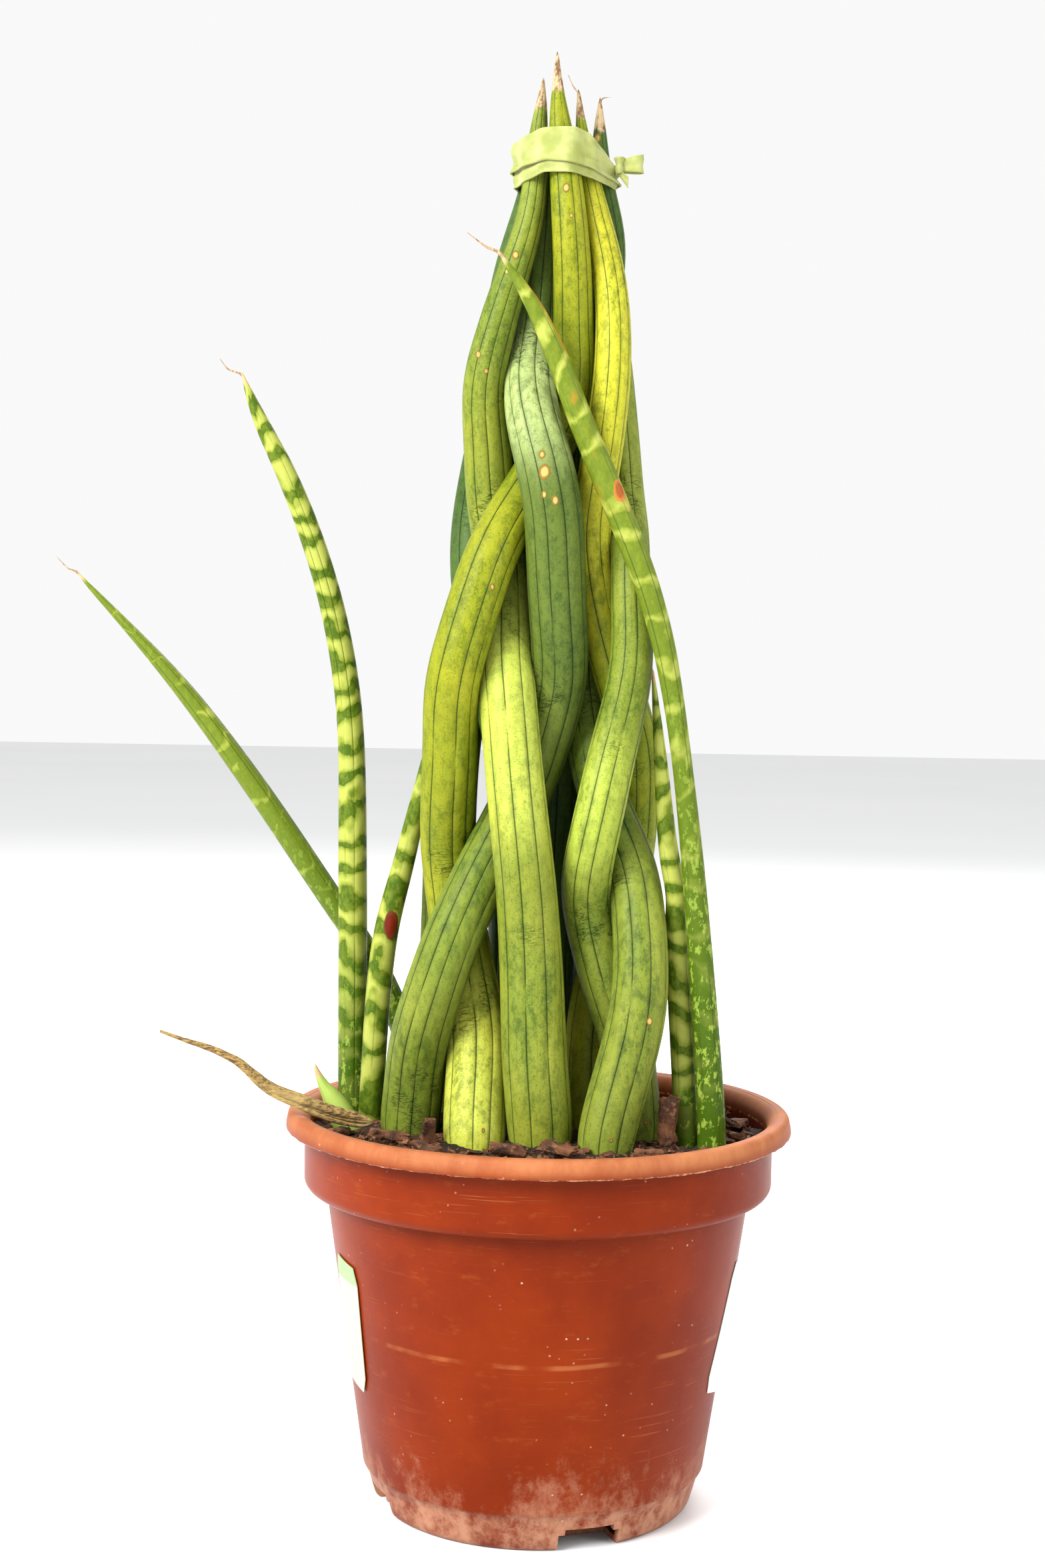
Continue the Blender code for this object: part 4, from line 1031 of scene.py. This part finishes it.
tail = [(knot_low.x - 0.0004 + 0.0038 * t, knot_mid.y - 0.0018 - 0.0012 * t,
         knot_mid.z - 0.0036 - 0.005 * t, knot_mid.z - 0.001 - 0.0036 * t, 0.25, -0.97)
        for t in (k / 19 for k in range(20))]
knot_tail = strip("ribbon_tail", np.array(tail), 0.0004, pleats=0.00025, seed=15.0, rows=8)


# ---------- labels
# Two blank stickers of matt paper, pressed on to the wall of the pot. The left one is cream with a
# pale green head, and the right one is pale mint.
def label_paper(name, body_tint, head_tint, head_at):
    paper = Finish(name, roughness=0.55)
    spot = paper.place()
    height = paper.height(spot)
    fibre = paper.noise(spot, 700.0, 3.0, 0.6)
    tint = paper.mix(height.rise(head_at, head_at + 0.0006), body_tint, head_tint)
    stain = paper.noise(spot, 90.0, 4.0, 0.7).rise(0.6, 0.78)
    tint = paper.mix(stain * 0.2, tint, (0.4, 0.26, 0.16))
    paper.wear(base_color=tint, normal=paper.bump(fibre, 0.00005, 0.5))
    return paper


cream = label_paper("paper_cream", (0.47, 0.42, 0.31), (0.24, 0.32, 0.16), 0.088)
mint = label_paper("paper_mint", (0.62, 0.84, 0.78), (0.62, 0.84, 0.78), 0.2)
stands_for(taken("sticker_left", finer("label_left", 2), cream), "label_paper", "label_left")
stands_for(taken("sticker_right", finer("label_right", 2), mint), "label_paper", "label_right")


# ---------- dried leaf
# An old leaf dried to a fibrous straw, split along its length into twisted strands. It lies loose
# on the soil and over the left side of the lip.
straw = Finish("dried_straw", roughness=0.8)
fibres = straw.noise(straw.place(), 700.0, 5.0, 0.75, by=(0.35, 1.6, 1.6))
tone = straw.noise(straw.place(), 60.0, 3.0)
straw_tint = straw.mix(fibres.rise(0.38, 0.6), (0.36, 0.23, 0.06), (0.07, 0.034, 0.01))
straw.wear(base_color=straw.mix(tone.rise(0.4, 0.65) * 0.5, straw_tint, (0.46, 0.34, 0.12)),
           normal=straw.bump(fibres, 0.0005, 0.9))
LINES["dried_leaf"] = centre_line("dried_leaf", 6, axis=0, steps=50, ease=3)[::-1]
core, run = evenly(LINES["dried_leaf"], 0.0012)
_, sides_on, backs = carried_frames(core)
verts, faces = [], []
rng = random.Random(52)
STRANDS, WHOLE_STRANDS, STRAND_SIDES = 9, 5, 8
for strand in range(STRANDS):
    phase, lie, thin = rng.uniform(0, tau), rng.uniform(0.25, 0.85), rng.uniform(0.2, 0.42)
    first, last = 0, len(core)
    if strand >= WHOLE_STRANDS:
        first, last = rng.randrange(0, 12), len(core) - rng.randrange(4, 20)
    base = len(verts)
    for i in range(first, last):
        r = core[i][3] * (1.7 + 0.5 * run[i] / run[-1])
        swing = phase + 1.9 * run[i] / run[-1] * (1 if strand % 2 else -1)
        off = Vector(sides_on[i] * cos(swing) * 1.25 + backs[i] * sin(swing) * 0.55)
        middle = Vector(core[i][:3]) + off * r * lie * (1 - 0.5 * i / len(core))
        own = r * thin * (1.1 + 0.3 * ripple(i * 0.25, strand * 3.0, 0))
        for k in range(STRAND_SIDES):
            a = tau * k / STRAND_SIDES
            out = Vector(sides_on[i] * cos(a) * 1.2 + backs[i] * sin(a))
            verts.append(middle + out * own)
    faces += tube_faces(base, last - first, STRAND_SIDES)
stands_for(piece("dried_straw_leaf", verts, faces, straw), "dried_leaf", "dried_leaf")


size = {"cad": [list(map(float, corner)) for corner in cad_box],
        "visual": [list(map(float, corner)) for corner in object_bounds()]}
